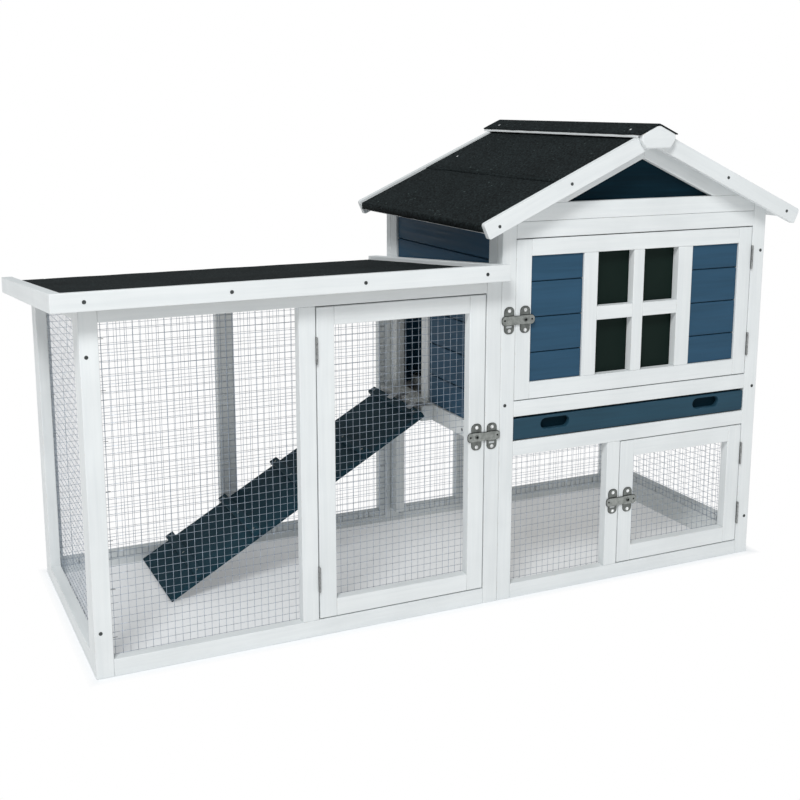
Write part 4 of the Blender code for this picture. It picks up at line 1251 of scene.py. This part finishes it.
def make_tray():
    left, right, bottom, top, front, depth = extent("tray_front")
    outline = round_corners(rectangle(left, right, bottom, top - TRAY_DROP), TRAY_ROUNDING)
    slots = [round_ended(*slot, *TRAY_SLOTS_Z) for slot in TRAY_SLOTS_X]
    board = Shape().add(plate([outline] + slots, depth, 0.0012), facing_front(front))
    board.make("tray_front", TRAY_BLUE, "tray")
    # Painted shade: a dark sheet behind the tray's front that shows in the gap above it and through its
    # slots.
    inset = TRAY_SHADE_SHEET_INSET
    shade_sheet = rectangle(left + inset, right - inset, bottom + inset, top + TRAY_SHADE_SHEET_RISE)
    behind = facing_front(front + depth + CLEAR)
    Shape().board(shade_sheet, TRAY_SHADE_SHEET_THICK, behind, 0.0003).make("tray_shade_sheet", PAINTED_SHADE_BLUE, "tray")
    low, high = box("tray_pan")
    left, right = low.x + PAN_CORNER, high.x - PAN_CORNER
    front, back = low.y + PAN_CORNER, high.y - PAN_CORNER
    loop = []
    for turn, centre in enumerate(((right, back), (left, back), (left, front), (right, front))):
        loop += arc(centre, PAN_CORNER, turn * 90, turn * 90 + 90, 5)
    rim = tube([Vector((x, y, high.z)) for x, y in loop + loop[:1]], PAN_RIM, Vector((0, 0, 1)), 8)
    Shape().add(rim).make("tray_pan_rim", ZINC, "tray")
    finish_node("tray_pan", ZINC)


def make_ramp():
    tilt = Matrix.Translation(RAMP_FOOT) @ Matrix.Rotation(-RAMP_RISE, 4, "Y")
    front, back = RAMP_Y
    shape = Shape()
    shape.board(rectangle(0, RAMP_LENGTH, front, back), RAMP_THICK, tilt)
    nails = Shape()
    place = shifted(tilt, 0, 0, RAMP_THICK - 0.0003)
    for number in range(CLEATS):
        middle = CLEAT_FIRST + number * CLEAT_STEP
        cleat = rectangle(middle - CLEAT_WIDTH / 2, middle + CLEAT_WIDTH / 2, front - CLEAT_OVERHANG,
                          back + CLEAT_OVERHANG)
        shape.board(cleat, CLEAT_HEIGHT, place, 0.0016)
        for spot in (front + CLEAT_NAIL_INSET, (front + back) / 2, back - CLEAT_NAIL_INSET):
            head = shifted(place, middle, spot, CLEAT_HEIGHT) @ Matrix.Rotation(math.pi, 4, "X")
            nails.add(dome(*CLEAT_NAIL), head)
    shape.make("ramp", RAMP, "ramp")
    nails.make("ramp_nails", STEEL, "ramp")
    joint = next(item for item in frame["joints"] if item["name"] == "ramp_lift")
    pin = Vector(joint["pos_m"]) - ORIGIN
    for word, middle in zip(("front", "back"), RAMP_HINGES_Y):
        edges = (middle - RAMP_LEAF_HALF, middle + RAMP_LEAF_HALF)
        ends = (RAMP_LENGTH + end for end in RAMP_LEAF)
        leaf = prism(rectangle(*ends, *edges), RAMP_LEAF_THICK, 0.0002, 1)
        leaf = Shape().add(leaf, shifted(tilt, 0, 0, RAMP_THICK + CLEAT_HEIGHT + CLEAR))
        leaf.make("ramp_hinge_leaf_" + word, LEAF_STEEL, "ramp")
        fixed = Shape()
        fixed.add(prism(rectangle(pin.x, pin.x + LEDGE_LEAF, *edges), RAMP_LEAF_THICK, 0.0002, 1),
                  facing_up(LEDGE_Z[1] + CLEAR))
        fixed.add(prism(circle(KNUCKLE_RADIUS, 14, (pin.x, pin.z)), 2 * RAMP_LEAF_HALF, 0.0002, 1),
                  facing_front(edges[0]))
        fixed.make("ramp_hinge_" + word, LEAF_STEEL)


# ---------------- stage

def beyond(tree, coordinate, reach):
    """How far a coordinate lies outside plus or minus reach."""
    return maths_node(tree, "SUBTRACT", maths_node(tree, "ABSOLUTE", coordinate), reach)


def make_floor():
    """A pale floor that turns into the bright white sweep of a studio away from the hutch."""
    material, tree, shader = new_material("floor", 0.6)
    even = stretched_grain(tree)
    cloud = noise_node(tree, even, 1.2, 2.0)
    tree.links.new(ramp_node(tree, cloud, ((0.3, (0.86, 0.89, 0.92)), (0.7, (0.90, 0.93, 0.96)))),
                   shader.inputs["Base Color"])
    place = add_node(tree, "SeparateXYZ", {0: even})
    farthest = maths_node(tree, "MAXIMUM", beyond(tree, place.outputs["X"], -ORIGIN.x - 0.008),
                        beyond(tree, place.outputs["Y"], -ORIGIN.y - 0.004))
    share = map_range(tree, farthest, 0.0, 0.025, 0.25, 1.0)
    white = add_node(tree, "Emission", {"Strength": 1.0})
    mix = add_node(tree, "MixShader", {0: share, 1: shader.outputs[0], 2: white.outputs[0]})
    tree.links.new(mix.outputs[0], tree.nodes["Material Output"].inputs["Surface"])
    bpy.ops.mesh.primitive_plane_add(size=40, location=(0, 0, 0))
    floor = bpy.context.object
    floor.name = "floor"
    floor.data.materials.append(material)


def soft_box(name, place, target, size, power):
    data = bpy.data.lights.new(name, "AREA")
    data.shape = "SQUARE"
    data.size = size
    data.energy = power
    lamp = link_object(name, data)
    lamp.location = Vector(place) + ORIGIN
    aim = Vector(target) - Vector(place)
    lamp.rotation_euler = aim.to_track_quat("-Z", "Y").to_euler()


def make_world():
    """A white room: bright behind the object, dimmer as a light."""
    world = bpy.data.worlds.new("studio")
    bpy.context.scene.world = world
    world.use_nodes = True
    tree = world.node_tree
    tree.nodes.clear()
    seen = add_node(tree, "Background", {"Color": (1, 1, 1, 1), "Strength": 1.0})
    lit = add_node(tree, "Background", {"Color": (0.94, 0.98, 1.0, 1), "Strength": WORLD_LIGHT})
    camera_ray = add_node(tree, "LightPath").outputs["Is Camera Ray"]
    mix = add_node(tree, "MixShader", {0: camera_ray, 1: lit.outputs[0], 2: seen.outputs[0]})
    add_node(tree, "OutputWorld", {"Surface": mix.outputs[0]})


def make_camera():
    data = bpy.data.cameras.new("camera")
    data.lens = CAMERA_LENS
    data.sensor_width = 36
    data.shift_x, data.shift_y = CAMERA_SHIFT
    camera = link_object("camera", data)
    camera.location = CAMERA_PLACE + ORIGIN
    camera.rotation_mode = "QUATERNION"
    camera.rotation_quaternion = CAMERA_AIM.to_track_quat("-Z", "Y")
    bpy.context.scene.camera = camera


# ---------------- the hutch

make_run_frames()
make_house_frames()
make_walls()
make_doors()

for panel in ("run_front_mesh", "run_back_mesh", "house_front_mesh", "house_back_mesh"):
    wire_panel(panel)
wire_panel("run_door_mesh", "run_door")
wire_panel("small_door_mesh", "small_door")
wire_panel("run_end_mesh", facing=facing_side, fall=RUN_ROOF_FALL)
wire_panel("house_right_mesh", facing=facing_side)

make_run_roof()
make_gable_felts()
make_bargeboards()
make_ridge()
make_screws()
make_nails()

make_hinges("run_door", -1)
make_hinges("small_door", 1)
make_hinges("house_door", 1)
for hutch_door in ("run", "small", "house"):
    make_latch(hutch_door + "_latch", hutch_door + "_door")

make_tray()
make_ramp()
finish_node("roof_panel_left", WHITE_PANEL)
finish_node("roof_panel_right", WHITE_PANEL)
finish_node("house_floor", RAW)

make_floor()
make_world()
make_camera()
soft_box("key_light", LIGHT_PLACE, LIGHT_TARGET, LIGHT_SIZE, LIGHT_POWER)
bpy.context.scene.view_settings.view_transform = "Standard"

import json
